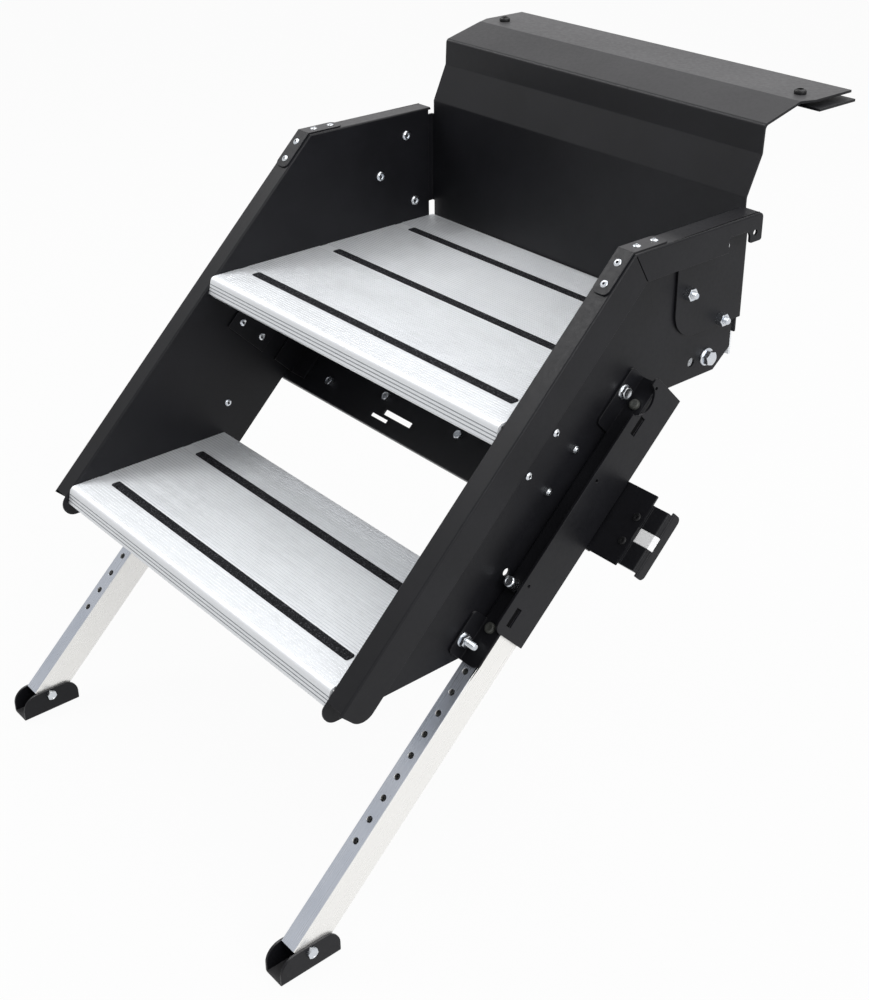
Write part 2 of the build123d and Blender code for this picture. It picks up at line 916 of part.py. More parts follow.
def slope_rod(radius, x, along, depth_span):
    """Round bar square to the stair slope."""
    y, z = slope_point(along, depth_span[0])
    return rod_to(radius, (x, y, z), slope_back(), depth_span[1] - depth_span[0])


def latch_panel():
    """Slanted panel across the back of the stair."""
    deep = (latch_depth, latch_depth + sheet)
    body = plate(oblong(slope_point, latch_along, deep), -latch_half, 2 * latch_half)
    edge = (latch_depth, latch_depth + latch_return)
    low, high = latch_along
    for span in ((low, low + sheet), (high - sheet, high)):
        rim = oblong(slope_point, span, edge)
        body += plate(rim, -latch_return_half, 2 * latch_return_half)
    for numbers in (latch_slot_low, latch_slot_high):
        body -= latch_slot(numbers)
    reach = (latch_depth - sheet, latch_depth + 2 * sheet)
    for x, along in latch_bolt_spots():
        body -= slope_rod(latch_bolt_radius + hole_clear, x, along, reach)
    for along in guide_screws_along:
        for x in (-guide_screw_x, guide_screw_x):
            body -= slope_rod(guide_screw_radius + hole_clear, x, along, reach)
    return body


def latch_bracket():
    """Right-hand angle that carries the latch panel on the web."""
    x_in = web_inner - sheet
    span = latch_bracket_along
    deep = (latch_bracket_depth, latch_depth)
    body = plate(oblong(slope_point, span, deep), x_in, sheet)
    foot = (latch_depth - sheet, latch_depth)
    x_from = web_inner - latch_bracket_leg
    return body + plate(oblong(slope_point, span, foot), x_from, latch_bracket_leg)


def latch_bolts():
    """Zinc bolts on the latch panel."""
    bolts = []
    shank = (latch_depth - latch_nut_height, latch_depth + 2 * sheet)
    for x, along in latch_bolt_spots():
        y, z = slope_point(along, shank[0])
        head = hex_to(latch_nut_flats, (x, y, z), slope_back(), latch_nut_height)
        bolts.append(head + slope_rod(latch_bolt_radius, x, along, shank))
    return bolts


def latch_nuts():
    """Nuts behind the latch panel."""
    nuts = []
    start = latch_depth + sheet
    for x, along in latch_bolt_spots():
        y, z = slope_point(along, start)
        body = hex_to(latch_nut_flats, (x, y, z), slope_back(), latch_nut_height)
        bore = (start - sheet, start + 2 * latch_nut_height)
        nuts.append(body - slope_rod(latch_bolt_radius + run_fit, x, along, bore))
    return nuts


def latch_guide():
    """Right-hand latch guide: box round the tongue with a turned-down end."""
    length = guide_to - guide_from
    deep = (guide_depth, guide_depth + sheet)
    body = plate(oblong(slope_point, guide_along, deep), guide_from, length)
    spacer = oblong(slope_point, guide_along, (latch_depth + sheet, latch_depth + 2 * sheet))
    body += plate(spacer, guide_from, latch_half - guide_from)
    rail = (latch_depth + 2 * sheet, guide_depth)
    low, high = guide_along
    rows = ((low, tongue_along[0] - seat_gap), (tongue_along[1] + seat_gap, high))
    for row in rows:
        body += plate(oblong(slope_point, row, rail), guide_from, length)
    span = (low - guide_lip_over, high + guide_lip_over)
    lip_face = oblong(slope_point, span, (guide_depth, guide_depth + guide_lip))
    free = [(spot, guide_round) for spot in lip_face[2:]]
    body += plate(lip_face, guide_to - sheet / 2, sheet, free)
    reach = (latch_depth, guide_depth + sheet / 2)
    for along in guide_screws_along:
        body -= slope_rod(guide_screw_radius, guide_screw_x, along, reach)
    return body


def guide_screws():
    """Screws of the right-hand latch guide."""
    screws = []
    for along in guide_screws_along:
        head = (latch_depth - guide_screw_height, latch_depth)
        screw = slope_rod(guide_screw_head, guide_screw_x, along, head)
        shank = (latch_depth, guide_depth)
        screws.append(screw + slope_rod(guide_screw_radius, guide_screw_x, along, shank))
    return screws


def latch_tongue():
    """Right-hand sprung tongue with a bevelled nose."""
    deep = (tongue_depth, tongue_depth + tongue_thick)
    outline = oblong(slope_point, tongue_along, deep)
    body = plate(outline, tongue_from, tongue_to - tongue_from)
    front = slope_point(sum(tongue_along) / 2, tongue_depth)
    nose = body.edges().sort_by_distance((tongue_to, front[0], front[1]))[0]
    return chamfer(nose, tongue_bevel)


def leg_sleeve():
    """Right-hand leg sleeve, folded sheet on the web."""
    top, low = sleeve_along
    spots = [(top, sleeve_plate_front), (sleeve_upper_tab, sleeve_plate_front)]
    spots += [(sleeve_upper_tab, front_wall_out), (sleeve_lower_tab, front_wall_out)]
    spots += [(sleeve_lower_tab, sleeve_plate_front), (low, sleeve_plate_front)]
    spots += [(low, sleeve_plate_back), (top, sleeve_plate_back)]
    outline = [leg_point(*spot) for spot in spots]
    ends = [(outline[i], sleeve_corner_round) for i in (0, 1, 4, 5)]
    body = plate(outline, web_outer, sheet, ends)
    body += sleeve_front()
    body += sleeve_outer()
    for spot in sleeve_spots():
        body -= rod_x(sleeve_bolt_radius + hole_clear, (web_inner, ear_outer + sheet), spot)
    return body + pin_bush() - pin_bore()


def sleeve_front():
    """Front wall of the sleeve, wider below the outer wall."""
    deep = (front_wall_out, -seat_gap)
    wall = plate(oblong(leg_point, sleeve_along, deep), web_outer, sleeve_outer_in - web_outer)
    tail = (sleeve_outer_along[1], sleeve_along[1])
    wall += plate(oblong(leg_point, tail, deep), sleeve_outer_in, sheet)
    return wall - sleeve_toe()


def sleeve_outer():
    """Outer wall of the sleeve with its bite, slots and small holes."""
    deep = (sleeve_outer_front, sleeve_outer_back)
    outline = oblong(leg_point, sleeve_outer_along, deep)
    corners = [(outline[0], sleeve_corner_round), (outline[1], sleeve_toe_round)]
    return plate(outline, sleeve_outer_in, sheet, corners) - sleeve_cutters()


def sleeve_toe():
    """Cutter that rounds the front wall's lower outer corner."""
    far = sleeve_outer_in + sheet
    end = sleeve_along[1]
    round_off = sleeve_toe_round
    deep = (front_wall_out - sheet, sheet)
    square = oblong(leg_point, (end - round_off, end + sheet), deep)
    cutter = plate(square, far - round_off, round_off + sheet)
    y, z = leg_point(end - round_off, deep[0])
    keep = rod_to(round_off, (far - round_off, y, z), leg_back(), deep[1] - deep[0])
    return cutter - keep


def sleeve_cutters():
    """Bite, slots and small holes of the sleeve's outer wall."""
    span = (sleeve_outer_in, sleeve_outer_in + 2 * sheet)
    cut = rod_x(sleeve_bite_radius, span, leg_point(*sleeve_bite_at))
    for along in sleeve_slots_at:
        ends = (along - sleeve_slot_length / 2, along + sleeve_slot_length / 2)
        half = sleeve_slot_width / 2
        deep = (sleeve_slot_depth - half, sleeve_slot_depth + half)
        floor_x = sleeve_outer_in + sleeve_slot_skin
        cut += plate(oblong(leg_point, ends, deep), floor_x, 2 * sheet)
    for along in sleeve_holes_at:
        cut += rod_x(sleeve_hole_radius, span, leg_point(along, sleeve_hole_depth))
    return cut


def pin_line(depth):
    """Point on the snap pin's axis at a depth behind the leg's front face."""
    y, z = leg_point(pin_hole * leg_pitch, depth)
    return (leg_middle, y, z)


def pin_bush():
    """Raised bush for the snap pin on the sleeve's front wall."""
    start = pin_line(front_wall_out - pin_bush_length)
    return rod_to(pin_bush_radius, start, leg_back(), pin_bush_length)


def pin_bore():
    """Running bore of the snap pin through bush and front wall."""
    start = pin_line(front_wall_out - 2 * pin_bush_length)
    return rod_to(pin_radius + run_fit, start, leg_back(), 3 * pin_bush_length)


def snap_pin():
    """Right-hand snap pin with its pull knob."""
    knob_top = front_wall_out - pin_bush_length - seat_gap
    start = pin_line(knob_top - pin_knob_length)
    knob = rod_to(pin_knob_radius, start, leg_back(), pin_knob_length)
    rim = knob.edges().filter_by(GeomType.CIRCLE).sort_by_distance(start)[0]
    knob = fillet(rim, pin_knob_radius / 3)
    tip = -2 * seat_gap
    return knob + rod_to(pin_radius, pin_line(knob_top), leg_back(), tip - knob_top)


def sleeve_bolts():
    """The right sleeve's fasteners: a bolt into the upper tread, a stud into the lower."""
    upper, lower = sleeve_spots()
    inside = web_inner - sleeve_bolt_grip
    head = hex_x(sleeve_bolt_flats, (ear_outer, ear_outer + sleeve_bolt_head), upper)
    head += sleeve_flange(upper)
    bolt = head + rod_x(sleeve_bolt_radius, (inside, ear_outer), upper)
    end = ear_outer + nut_height + sleeve_stud_over
    stud = rod_x(sleeve_bolt_radius, (inside, end), lower)
    return [bolt, stud]


def sleeve_flange(spot):
    """Round flange under a sleeve fastener."""
    return rod_x(sleeve_bolt_flange, (ear_outer, ear_outer + sleeve_bolt_flange_thick), spot)


def sleeve_nut():
    """Flange nut on the right sleeve's lower stud."""
    lower = sleeve_spots()[1]
    body = nut(sleeve_bolt_flats, sleeve_bolt_radius, (ear_outer, ear_outer + nut_height), lower)
    bore = rod_x(sleeve_bolt_radius + run_fit, (web_outer, ear_outer + nut_height), lower)
    return body + (sleeve_flange(lower) - bore)


def glide_buttons():
    """Pale glide buttons on the right sleeve's front wall."""
    buttons = []
    for along in glides_at:
        y, z = leg_point(along, front_wall_out - glide_height)
        start = (leg_middle, y, z)
        button = rod_to(glide_radius, start, leg_back(), glide_height)
        rim = button.edges().filter_by(GeomType.CIRCLE).sort_by_distance(start)[0]
        buttons.append(fillet(rim, glide_height / 3))
    return buttons


def leg_tube():
    """Right-hand leg: rectangular tube with holes in its front face."""
    span = (leg_top, foot_bolt_along + leg_end_over)
    body = plate(oblong(leg_point, span, (0, leg_deep)), leg_inner, leg_width)
    hollow_span = (span[0] - sheet, span[1] + sheet)
    hollow = oblong(leg_point, hollow_span, (leg_wall, leg_deep - leg_wall))
    body -= plate(hollow, leg_inner + leg_wall, leg_width - 2 * leg_wall)
    for step in range(leg_holes[0], leg_holes[1] + 1):
        y, z = leg_point(step * leg_pitch, -leg_wall)
        body -= rod_to(leg_hole_radius, (leg_middle, y, z), leg_back(), 3 * leg_wall)
    return body - foot_bolt_bore()


def foot_spot():
    """Pivot of the foot in the leg's middle."""
    return leg_point(foot_bolt_along, leg_deep / 2)


def foot_bolt_bore():
    """Running bore for the foot bolt through the leg."""
    span = (leg_inner - sheet, leg_outer + sheet)
    return rod_x(foot_bolt_radius + run_fit, span, foot_spot())


def foot():
    """Right-hand U foot."""
    y, z = foot_spot()
    bottom = z - foot_bolt_height
    ends = (y - foot_length / 2, y + foot_length / 2)
    outline = [(ends[0], bottom), (ends[1], bottom), (ends[1], z + foot_top), (ends[0], z + foot_top)]
    corners = [(outline[2], foot_round), (outline[3], foot_round)]
    near = leg_inner - foot_side_gap
    far = leg_outer + foot_side_gap
    body = plate(outline, near - sheet, sheet, corners)
    body += plate(outline, far, sheet, corners)
    body += box_between((near - sheet, far + sheet), ends, (bottom, bottom + sheet))
    bends = body.edges().filter_by(Axis.Y).group_by(Axis.Z)[0]
    body = fillet(bends, bend_radius)
    return body - rod_x(foot_bolt_radius, (near - 2 * sheet, far + 2 * sheet), (y, z))


def foot_bolt():
    """Right-hand foot bolt with its nut."""
    near = leg_inner - foot_side_gap - sheet
    far = leg_outer + foot_side_gap + sheet
    spot = foot_spot()
    bolt = rod_x(foot_bolt_radius, (near - foot_head_height, far + foot_head_height), spot)
    bolt += hex_x(foot_head_flats, (far, far + foot_head_height), spot)
    return bolt + hex_x(foot_head_flats, (near - foot_head_height, near), spot)


def main():
    """Build and write every node."""
    os.makedirs("parts", exist_ok=True)
    save("floor_hinge_plate", floor_plate())
    save_group("hinge_pins", hinge_pins())
    save("threshold_riser", threshold_riser())
    save_group("buffer_bolts", buffer_bolts())
    save_group("rubber_buffers", rubber_buffers())
    save_pair("side_panel", side_panel())
    save_pair("corner_gusset", gusset())
    save_group("gusset_rivets", both(gusset_rivets()))
    save_group("ear_bolts", both(ear_bolts()))
    save_group("ear_nuts", both(ear_nuts()))
    save_group("flange_bolts", both([flange_bolt()]))
    save_group("flange_nuts", both([flange_nut()]))
    upper_boss, lower_boss = sleeve_spots()
    save("upper_tread", tread(upper_nose, upper_back, upper_top, upper_strips, upper_boss))
    save("lower_tread", tread(lower_nose, lower_back, lower_top, lower_strips, lower_boss))
    save_group("upper_grip_strips", grip_strips(upper_top, upper_strips))
    save_group("lower_grip_strips", grip_strips(lower_top, lower_strips))
    save_pair("upper_bracket", upper_bracket())
    save_pair("lower_bracket", lower_bracket())
    save_group("bracket_bolts", both(bracket_bolts()))
    save_group("bracket_nuts", both(bracket_nuts()))
    save_group("bracket_rivets", both(bracket_rivets()))
    save("latch_panel", latch_panel())
    save_pair("latch_bracket", latch_bracket())
    save_group("latch_bolts", latch_bolts())
    save_group("latch_nuts", latch_nuts())
    save_pair("latch_guide", latch_guide())
    save_group("guide_screws", both(guide_screws()))
    save_pair("latch_tongue", latch_tongue())
    save_pair("leg_sleeve", leg_sleeve())
    save_group("sleeve_bolts", both(sleeve_bolts()))
    save_group("sleeve_nuts", both([sleeve_nut()]))
    save_group("glide_buttons", both(glide_buttons()))
    save_pair("snap_pin", snap_pin())
    save_pair("leg_tube", leg_tube())
    save_pair("foot", foot())
    save_pair("foot_bolt", foot_bolt())


main()
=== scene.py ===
"""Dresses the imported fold-up caravan entry step for a studio picture.

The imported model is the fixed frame. Every piece takes its place from the mesh of a
CAD node, in metres, with X across the step, Y towards the caravan and Z up.
"""

import logging
import math
from abc import ABC, abstractmethod
from dataclasses import dataclass, field, replace
from enum import Enum
from typing import Callable, Sequence

import bmesh
import bpy
import numpy as np
from mathutils import Matrix, Vector
from mathutils.geometry import delaunay_2d_cdt


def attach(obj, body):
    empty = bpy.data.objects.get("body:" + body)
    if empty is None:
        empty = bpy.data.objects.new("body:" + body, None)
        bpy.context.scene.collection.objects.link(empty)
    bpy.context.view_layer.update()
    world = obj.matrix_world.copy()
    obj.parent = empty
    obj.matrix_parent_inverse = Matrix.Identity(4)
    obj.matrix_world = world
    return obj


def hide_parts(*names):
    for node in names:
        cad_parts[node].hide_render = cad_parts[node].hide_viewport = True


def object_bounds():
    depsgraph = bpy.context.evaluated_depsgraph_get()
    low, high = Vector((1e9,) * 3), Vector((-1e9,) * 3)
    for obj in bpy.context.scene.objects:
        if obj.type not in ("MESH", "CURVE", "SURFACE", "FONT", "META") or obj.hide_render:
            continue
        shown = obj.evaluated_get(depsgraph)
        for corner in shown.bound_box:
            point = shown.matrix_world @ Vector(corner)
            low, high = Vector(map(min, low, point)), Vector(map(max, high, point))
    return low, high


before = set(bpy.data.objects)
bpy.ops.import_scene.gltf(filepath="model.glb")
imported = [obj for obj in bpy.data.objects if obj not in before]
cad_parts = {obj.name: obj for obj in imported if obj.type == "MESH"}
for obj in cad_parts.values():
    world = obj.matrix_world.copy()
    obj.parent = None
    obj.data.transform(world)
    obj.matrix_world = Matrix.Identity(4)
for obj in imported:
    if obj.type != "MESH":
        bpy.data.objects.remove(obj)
CAD_BOX: list[list[float]] = [[float(v) for v in corner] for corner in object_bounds()]

LOG = logging.getLogger("entry_step")
MM = 0.001
SIDES = ("left", "right")
STAIR_SLOPE = math.radians(44.5)
LEG_SLOPE = math.radians(43.5)
UPWARDS = Vector((0.0, 0.0, 1.0))
STAIR_BACK = Vector((0.0, math.sin(STAIR_SLOPE), -math.cos(STAIR_SLOPE)))
LEG_BACK = Vector((0.0, math.sin(LEG_SLOPE), -math.cos(LEG_SLOPE)))

Colour = tuple[float, float, float]
Place = tuple[float, float, float]
Pair = tuple[float, float]
Socket = bpy.types.NodeSocket
Thing = bpy.types.Object
Mesh = bpy.types.Mesh
Shape = bmesh.types.BMesh


class Slot(Enum):
    """Material slots of the record."""

    POWDER_COAT = "powder_coat"
    TREAD_ALUMINIUM = "tread_aluminium"
    LEG_ALUMINIUM = "leg_aluminium"
    ZINC = "zinc"
    GRIP = "grip"
    BUFFER_RUBBER = "buffer_rubber"
    BLACK_HARDWARE = "black_hardware"
    GLIDE_PLASTIC = "glide_plastic"
    TONGUE_NYLON = "tongue_nylon"


class Line(Enum):
    """Lines that a fastener's axis can follow."""

    ACROSS = "outwards across the step"
    STAIR = "square to the stair, towards its back"
    LEG = "square to the leg, towards its front"
    UP = "straight up"
    GUSSET = "up, or square to the stair towards its front"


class Head(Enum):
    """Shapes of a fastener's visible end."""

    HEX = "hexagon head"
    NUT = "hexagon nut"
    BUTTON = "button head with a socket"
    RIVET = "dome rivet"
    PAN = "pan head with a socket"
    STUD = "threaded end"
    PLUG = "smooth moulded plug"


@dataclass
class Bench:
    """Adds and joins the nodes of one node tree."""

    tree: bpy.types.NodeTree

    def add(
        self, kind: str, feeds: dict[str | int, object] | None = None, **settings: object
    ) -> bpy.types.Node:
        """Adds a node.

        Args:
            kind: Blender's name of the node type.
            feeds: inputs, each with a plain value or a socket to join.
            **settings: properties to set on it.

        Returns:
            The new node.
        """
        node = self.tree.nodes.new(kind)
        for name, value in settings.items():
            setattr(node, name, value)
        for name, value in (feeds or {}).items():
            self.feed(node.inputs[name], value)
        return node

    def feed(self, target: Socket, value: object) -> None:
        """Joins a socket to an input, or sets the input to a plain value.

        Args:
            target: the input.
            value: the socket or the plain value.
        """
        if isinstance(value, Socket):
            self.tree.links.new(value, target)
        else:
            target.default_value = value

    def math(self, operation: str, *values: object) -> Socket:
        """Adds a calculation with numbers or sockets, and gives its result."""
        feeds = dict(enumerate(values))
        return self.add("ShaderNodeMath", feeds, operation=operation).outputs[0]


@dataclass
class Paint(Bench):
    """A bench for a surface, with the patterns that the finishes share."""

    def place(self, scale: Place = (1.0, 1.0, 1.0), turn: float = 0.0) -> Socket:
        """Gives object coordinates, turned about X and then stretched.

        Args:
            scale: stretch of the turned coordinates.
            turn: angle about X in radians.

        Returns:
            The vector socket.
        """
        spot = self.add("ShaderNodeTexCoord").outputs["Object"]
        if turn:
            turned = {"Vector": spot, "Rotation": (turn, 0.0, 0.0)}
            spot = self.add("ShaderNodeMapping", turned).outputs["Vector"]
        stretched = {"Vector": spot, "Scale": scale}
        return self.add("ShaderNodeMapping", stretched).outputs["Vector"]

    def noise(self, vector: Socket, scale: float, detail: float) -> Socket:
        """Adds clouds from 0 to 1, of a scale in features to a metre and some octaves."""
        feeds = {"Vector": vector, "Scale": scale, "Detail": detail}
        return self.add("ShaderNodeTexNoise", feeds).outputs["Fac"]

    def spread(
        self, value: Socket, low: float, high: float, start: float = 0.3, end: float = 0.7
    ) -> Socket:
        """Stretches a pattern, so that its start becomes low and its end high."""
        feeds = {"From Min": start, "From Max": end, "To Min": low, "To Max": high}
        return self.add("ShaderNodeMapRange", {"Value": value, **feeds}).outputs["Result"]

    def blend(self, share: Socket, first: object, second: object) -> Socket:
        """Mixes two colours.

        Args:
            share: how much of the second colour.
            first: a colour or a socket.
            second: a colour or a socket.

        Returns:
            The mixed colour.
        """
        node = self.add("ShaderNodeMix", {"Factor": share}, data_type="RGBA")
        sockets = [s for s in node.inputs if s.type == "RGBA"]
        for socket, value in zip(sockets, (first, second)):
            self.feed(socket, value if isinstance(value, Socket) else (*value, 1.0))
        return next(s for s in node.outputs if s.type == "RGBA")

    def relief(self, height: Socket, depth: float, strength: float) -> Socket:
        """Turns a pattern into surface relief, of a depth in metres."""
        feeds = {"Height": height, "Distance": depth, "Strength": strength}
        return self.add("ShaderNodeBump", feeds).outputs["Normal"]

    def parts(self, vector: Socket) -> bpy.types.bpy_prop_collection:
        """Takes a vector apart into X, Y and Z."""
        return self.add("ShaderNodeSeparateXYZ", {"Vector": vector}).outputs

    def normal(self, axis: str) -> Socket:
        """Gives one part of the piece's own surface direction."""
        return self.parts(self.add("ShaderNodeTexCoord").outputs["Normal"])[axis]

    def facing_up(self, falloff: float = 16.0) -> Socket:
        """Gives 1 on faces that look up, and 0 on walls and undersides."""
        return self.math("POWER", self.math("MAXIMUM", self.normal("Z"), 0.0), falloff)

    def facing_across(self, start: float = 0.4, end: float = 0.8) -> Socket:
        """Gives 1 on faces that look to either side, and 0 on the others."""
        sideways = self.math("ABSOLUTE", self.normal("X"))
        return self.spread(sideways, 0.0, 1.0, start, end)


@dataclass(frozen=True)
class Finish(ABC):
    """One finish of the step; the kinds below lay down its pattern."""

    slot: Slot
    colour: Colour
    rough: float
    metal: float = 0.0
    specular: float = 0.5
    title: str = ""
    depth: float = 0.0001
    strength: float = 0.3
    gloss: Pair = (-0.05, 0.08)

    def material(self) -> bpy.types.Material:
        """Makes the material at its first use.

        Returns:
            The material.
        """
        name = (self.title or self.slot.value) + "_finish"
        known = bpy.data.materials.get(name)
        if known:
            return known
        made = bpy.data.materials.new(name)
        made.use_nodes = True
        made.diffuse_color = (*self.colour, 1.0)
        made.node_tree.nodes.clear()
        paint = Paint(made.node_tree)
        plain_look = {
            "Base Color": (*self.colour, 1.0),
            "Roughness": self.rough,
            "Metallic": self.metal,
            "Specular IOR Level": self.specular,
        }
        shader = paint.add("ShaderNodeBsdfPrincipled", plain_look)
        colour, rough, height = self.pattern(paint)
        paint.feed(shader.inputs["Base Color"], colour)
        paint.feed(shader.inputs["Roughness"], rough)
        normal = paint.relief(height, self.depth, self.strength)
        paint.feed(shader.inputs["Normal"], normal)
        paint.add("ShaderNodeOutputMaterial", {"Surface": shader.outputs["BSDF"]})
        return made

    def rubbed(self, paint: Paint, pattern: Socket) -> Socket:
        """Varies the roughness with a pattern."""
        low, high = self.gloss
        return paint.spread(pattern, self.rough + low, self.rough + high)

    @abstractmethod
    def pattern(self, paint: Paint) -> tuple[Socket, Socket, Socket]:
        """Gives the colour, the roughness and the height of the surface."""


@dataclass(frozen=True)
class PowderCoat(Finish):
    """Satin powder coat with fine orange peel, and a pale blend of painted sheen and a little
    dust on top faces.

    A pair of clouds, patches, satin or peel is a noise's scale and its octaves. The
    other pairs are where the painted sheen and dust thin out, in metres.
    """

    depth: float = 0.00025
    strength: float = 0.22
    gloss: Pair = (-0.05, 0.06)
    lighter: float = 1.45
    # The pale colour below is painted sheen with a little dust, laid on faces that look up.
    dust: Colour = (0.13, 0.128, 0.132)
    dust_share: Pair = (0.42, 0.56)
    # How much painted shade takes off the pale sheen on the right panel's top and the covered
    # floor plate.
    wiped_share: float = 0.95
    clouds: Pair = (14.0, 5.0)
    patches: Pair = (9.0, 4.0)
    satin: Pair = (210.0, 3.0)
    peel: Pair = (620.0, 2.0)
    panel_side: Pair = (0.252, 0.258)
    panel_front: Pair = (-0.29, -0.25)
    panel_top: Pair = (-0.06, -0.03)
    floor_front: Pair = (-0.043, -0.04)
    floor_top: Pair = (0.005, 0.007)

    def pattern(self, paint: Paint) -> tuple[Socket, Socket, Socket]:
        """Lays down mottled black, painted sheen with a little dust on level faces, and
        orange peel.

        Args:
            paint: the bench of the material.

        Returns:
            The colour, the roughness and the height.
        """
        spot = paint.place()
        cloud = paint.spread(paint.noise(spot, *self.clouds), 0.0, 1.0)
        lighter = tuple(self.lighter * part for part in self.colour)
        ground = paint.blend(cloud, self.colour, lighter)
        # Painted sheen with a little dust: faces that look up blend in patches towards a pale
        # grey.
        patches = paint.spread(paint.noise(spot, *self.patches), *self.dust_share)
        sheen_and_dust_mask = paint.math("MULTIPLY", paint.facing_up(), patches)
        sheen_and_dust_mask = paint.math("MULTIPLY", sheen_and_dust_mask, self.wiped(paint, spot))
        colour = paint.blend(sheen_and_dust_mask, ground, self.dust)
        rough = self.rubbed(paint, paint.noise(spot, *self.satin))
        return colour, rough, paint.noise(spot, *self.peel)

    def wiped(self, paint: Paint, spot: Socket) -> Socket:
        """Gives 1, and less on the right panel's top and on the covered floor plate, where
        painted shade takes away the painted sheen.

        Args:
            paint: the bench of the material.
            spot: the object coordinates.

        Returns:
            The share of painted sheen and dust that stays.
        """
        at = paint.parts(spot)
        # Painted shade: the pale sheen colour thins out on the right panel's top and on the
        # floor plate under the threshold.
        shaded_level = 1.0 - self.wiped_share
        left = paint.spread(at["X"], 1.0, shaded_level, *self.panel_side)
        front = paint.spread(at["Y"], 1.0, shaded_level, *self.panel_front)
        high = paint.spread(at["Z"], shaded_level, 1.0, *self.panel_top)
        panel = paint.math("MAXIMUM", paint.math("MAXIMUM", left, front), high)
        bare = paint.spread(at["Y"], 1.0, shaded_level, *self.floor_front)
        above = paint.spread(at["Z"], shaded_level, 1.0, *self.floor_top)
        return paint.math("MULTIPLY", panel, paint.math("MAXIMUM", bare, above))


@dataclass(frozen=True)
class DrawnMetal(Finish):
    """Bright aluminium with the fine lines that the die leaves along it."""

    depth: float = 0.00008
    strength: float = 0.2
    gloss: Pair = (-0.07, 0.1)
    turn: float = 0.0
    along: Place = (4.0, 900.0, 900.0)
    stain: Colour = (0.55, 0.57, 0.6)
    # Painted light: a pale colour for faces that look to either side, where the side light
    # falls.
    flank: Colour | None = None
    lines: Pair = (1.0, 3.0)
    oxide: Pair = (16.0, 5.0)
    marks: Pair = (70.0, 4.0)
    oxide_share: float = 0.32
    line_share: float = 0.22
    mark_gloss: Pair = (-0.03, 0.05)

    def pattern(self, paint: Paint) -> tuple[Socket, Socket, Socket]:
        """Lays down die lines, faint oxide clouds, handling marks and, where set, painted
        light on faces that look to either side.

        Args:
            paint: the bench of the material.

        Returns:
            The colour, the roughness and the height.
        """
        lines = paint.noise(paint.place(self.along, self.turn), *self.lines)
        spot = paint.place()
        cloud = paint.spread(paint.noise(spot, *self.oxide), 0.0, self.oxide_share)
        streak = paint.spread(lines, 0.0, self.line_share)
        share = paint.math("ADD", cloud, streak)
        colour = paint.blend(share, self.colour, self.stain)
        # Painted light: faces that look to either side blend towards the pale colour.
        if self.flank:
            colour = paint.blend(paint.facing_across(), colour, self.flank)
        marks = paint.spread(paint.noise(spot, *self.marks), *self.mark_gloss)
        rough = paint.math("ADD", self.rubbed(paint, lines), marks)
        return colour, rough, lines


@dataclass(frozen=True)
class ZincPlate(Finish):
    """Bright zinc plate with a faint blue and straw cast."""

    depth: float = 0.00005
    strength: float = 0.25
    gloss: Pair = (-0.06, 0.12)
    blue: Colour = (0.62, 0.68, 0.76)
    straw: Colour = (0.78, 0.74, 0.64)
    blue_cast: Pair = (60.0, 2.0)
    straw_cast: Pair = (95.0, 3.0)
    blue_share: float = 0.5
    straw_share: float = 0.28
    spangle: Pair = (900.0, 2.0)

    def pattern(self, paint: Paint) -> tuple[Socket, Socket, Socket]:
        """Lays down the cast of the plating and its fine spangle.

        Args:
            paint: the bench of the material.

        Returns:
            The colour, the roughness and the height.
        """
        spot = paint.place()
        cool = paint.spread(paint.noise(spot, *self.blue_cast), 0.0, self.blue_share)
        warm = paint.spread(paint.noise(spot, *self.straw_cast), 0.0, self.straw_share)
        colour = paint.blend(warm, paint.blend(cool, self.colour, self.blue), self.straw)
        spangle = paint.noise(spot, *self.spangle)
        return colour, self.rubbed(paint, spangle), spangle


@dataclass(frozen=True)
class GritCoat(Finish):
    """Black mineral grit with pale specks among its grains."""

    depth: float = 0.0005
    strength: float = 0.6
    gloss: Pair = (-0.25, 0.4)
    speck: Colour = (0.1, 0.1, 0.112)
    rarity: float = 9.0
    grain: float = 1150.0

    def pattern(self, paint: Paint) -> tuple[Socket, Socket, Socket]:
        """Lays down grain after grain, some of them pale.

        Args:
            paint: the bench of the material.

        Returns:
            The colour, the roughness and the height.
        """
        feeds = {"Vector": paint.place(), "Scale": self.grain}
        cells = paint.add("ShaderNodeTexVoronoi", feeds).outputs
        parts = paint.add("ShaderNodeSeparateColor", {"Color": cells["Color"]}).outputs
        pale = paint.math("POWER", parts["Red"], self.rarity)
        colour = paint.blend(pale, self.colour, self.speck)
        low, span = self.gloss
        rough = paint.math("MULTIPLY_ADD", parts["Green"], span, self.rough + low)
        return colour, rough, cells["Distance"]


@dataclass(frozen=True)
class Moulded(Finish):
    """Moulded rubber or plastic with a fine spark-eroded skin."""

    drift: Pair = (45.0, 4.0)
    skin: Pair = (1500.0, 2.0)
    shift: float = 0.18

    def pattern(self, paint: Paint) -> tuple[Socket, Socket, Socket]:
        """Lays down the skin and a slow drift of the colour.

        Args:
            paint: the bench of the material.

        Returns:
            The colour, the roughness and the height.
        """
        spot = paint.place()
        drift = paint.spread(paint.noise(spot, *self.drift), 0.0, 1.0)
        duller = tuple(part * (1.0 - self.shift) for part in self.colour)
        colour = paint.blend(drift, self.colour, duller)
        skin = paint.noise(spot, *self.skin)
        return colour, self.rubbed(paint, skin), skin


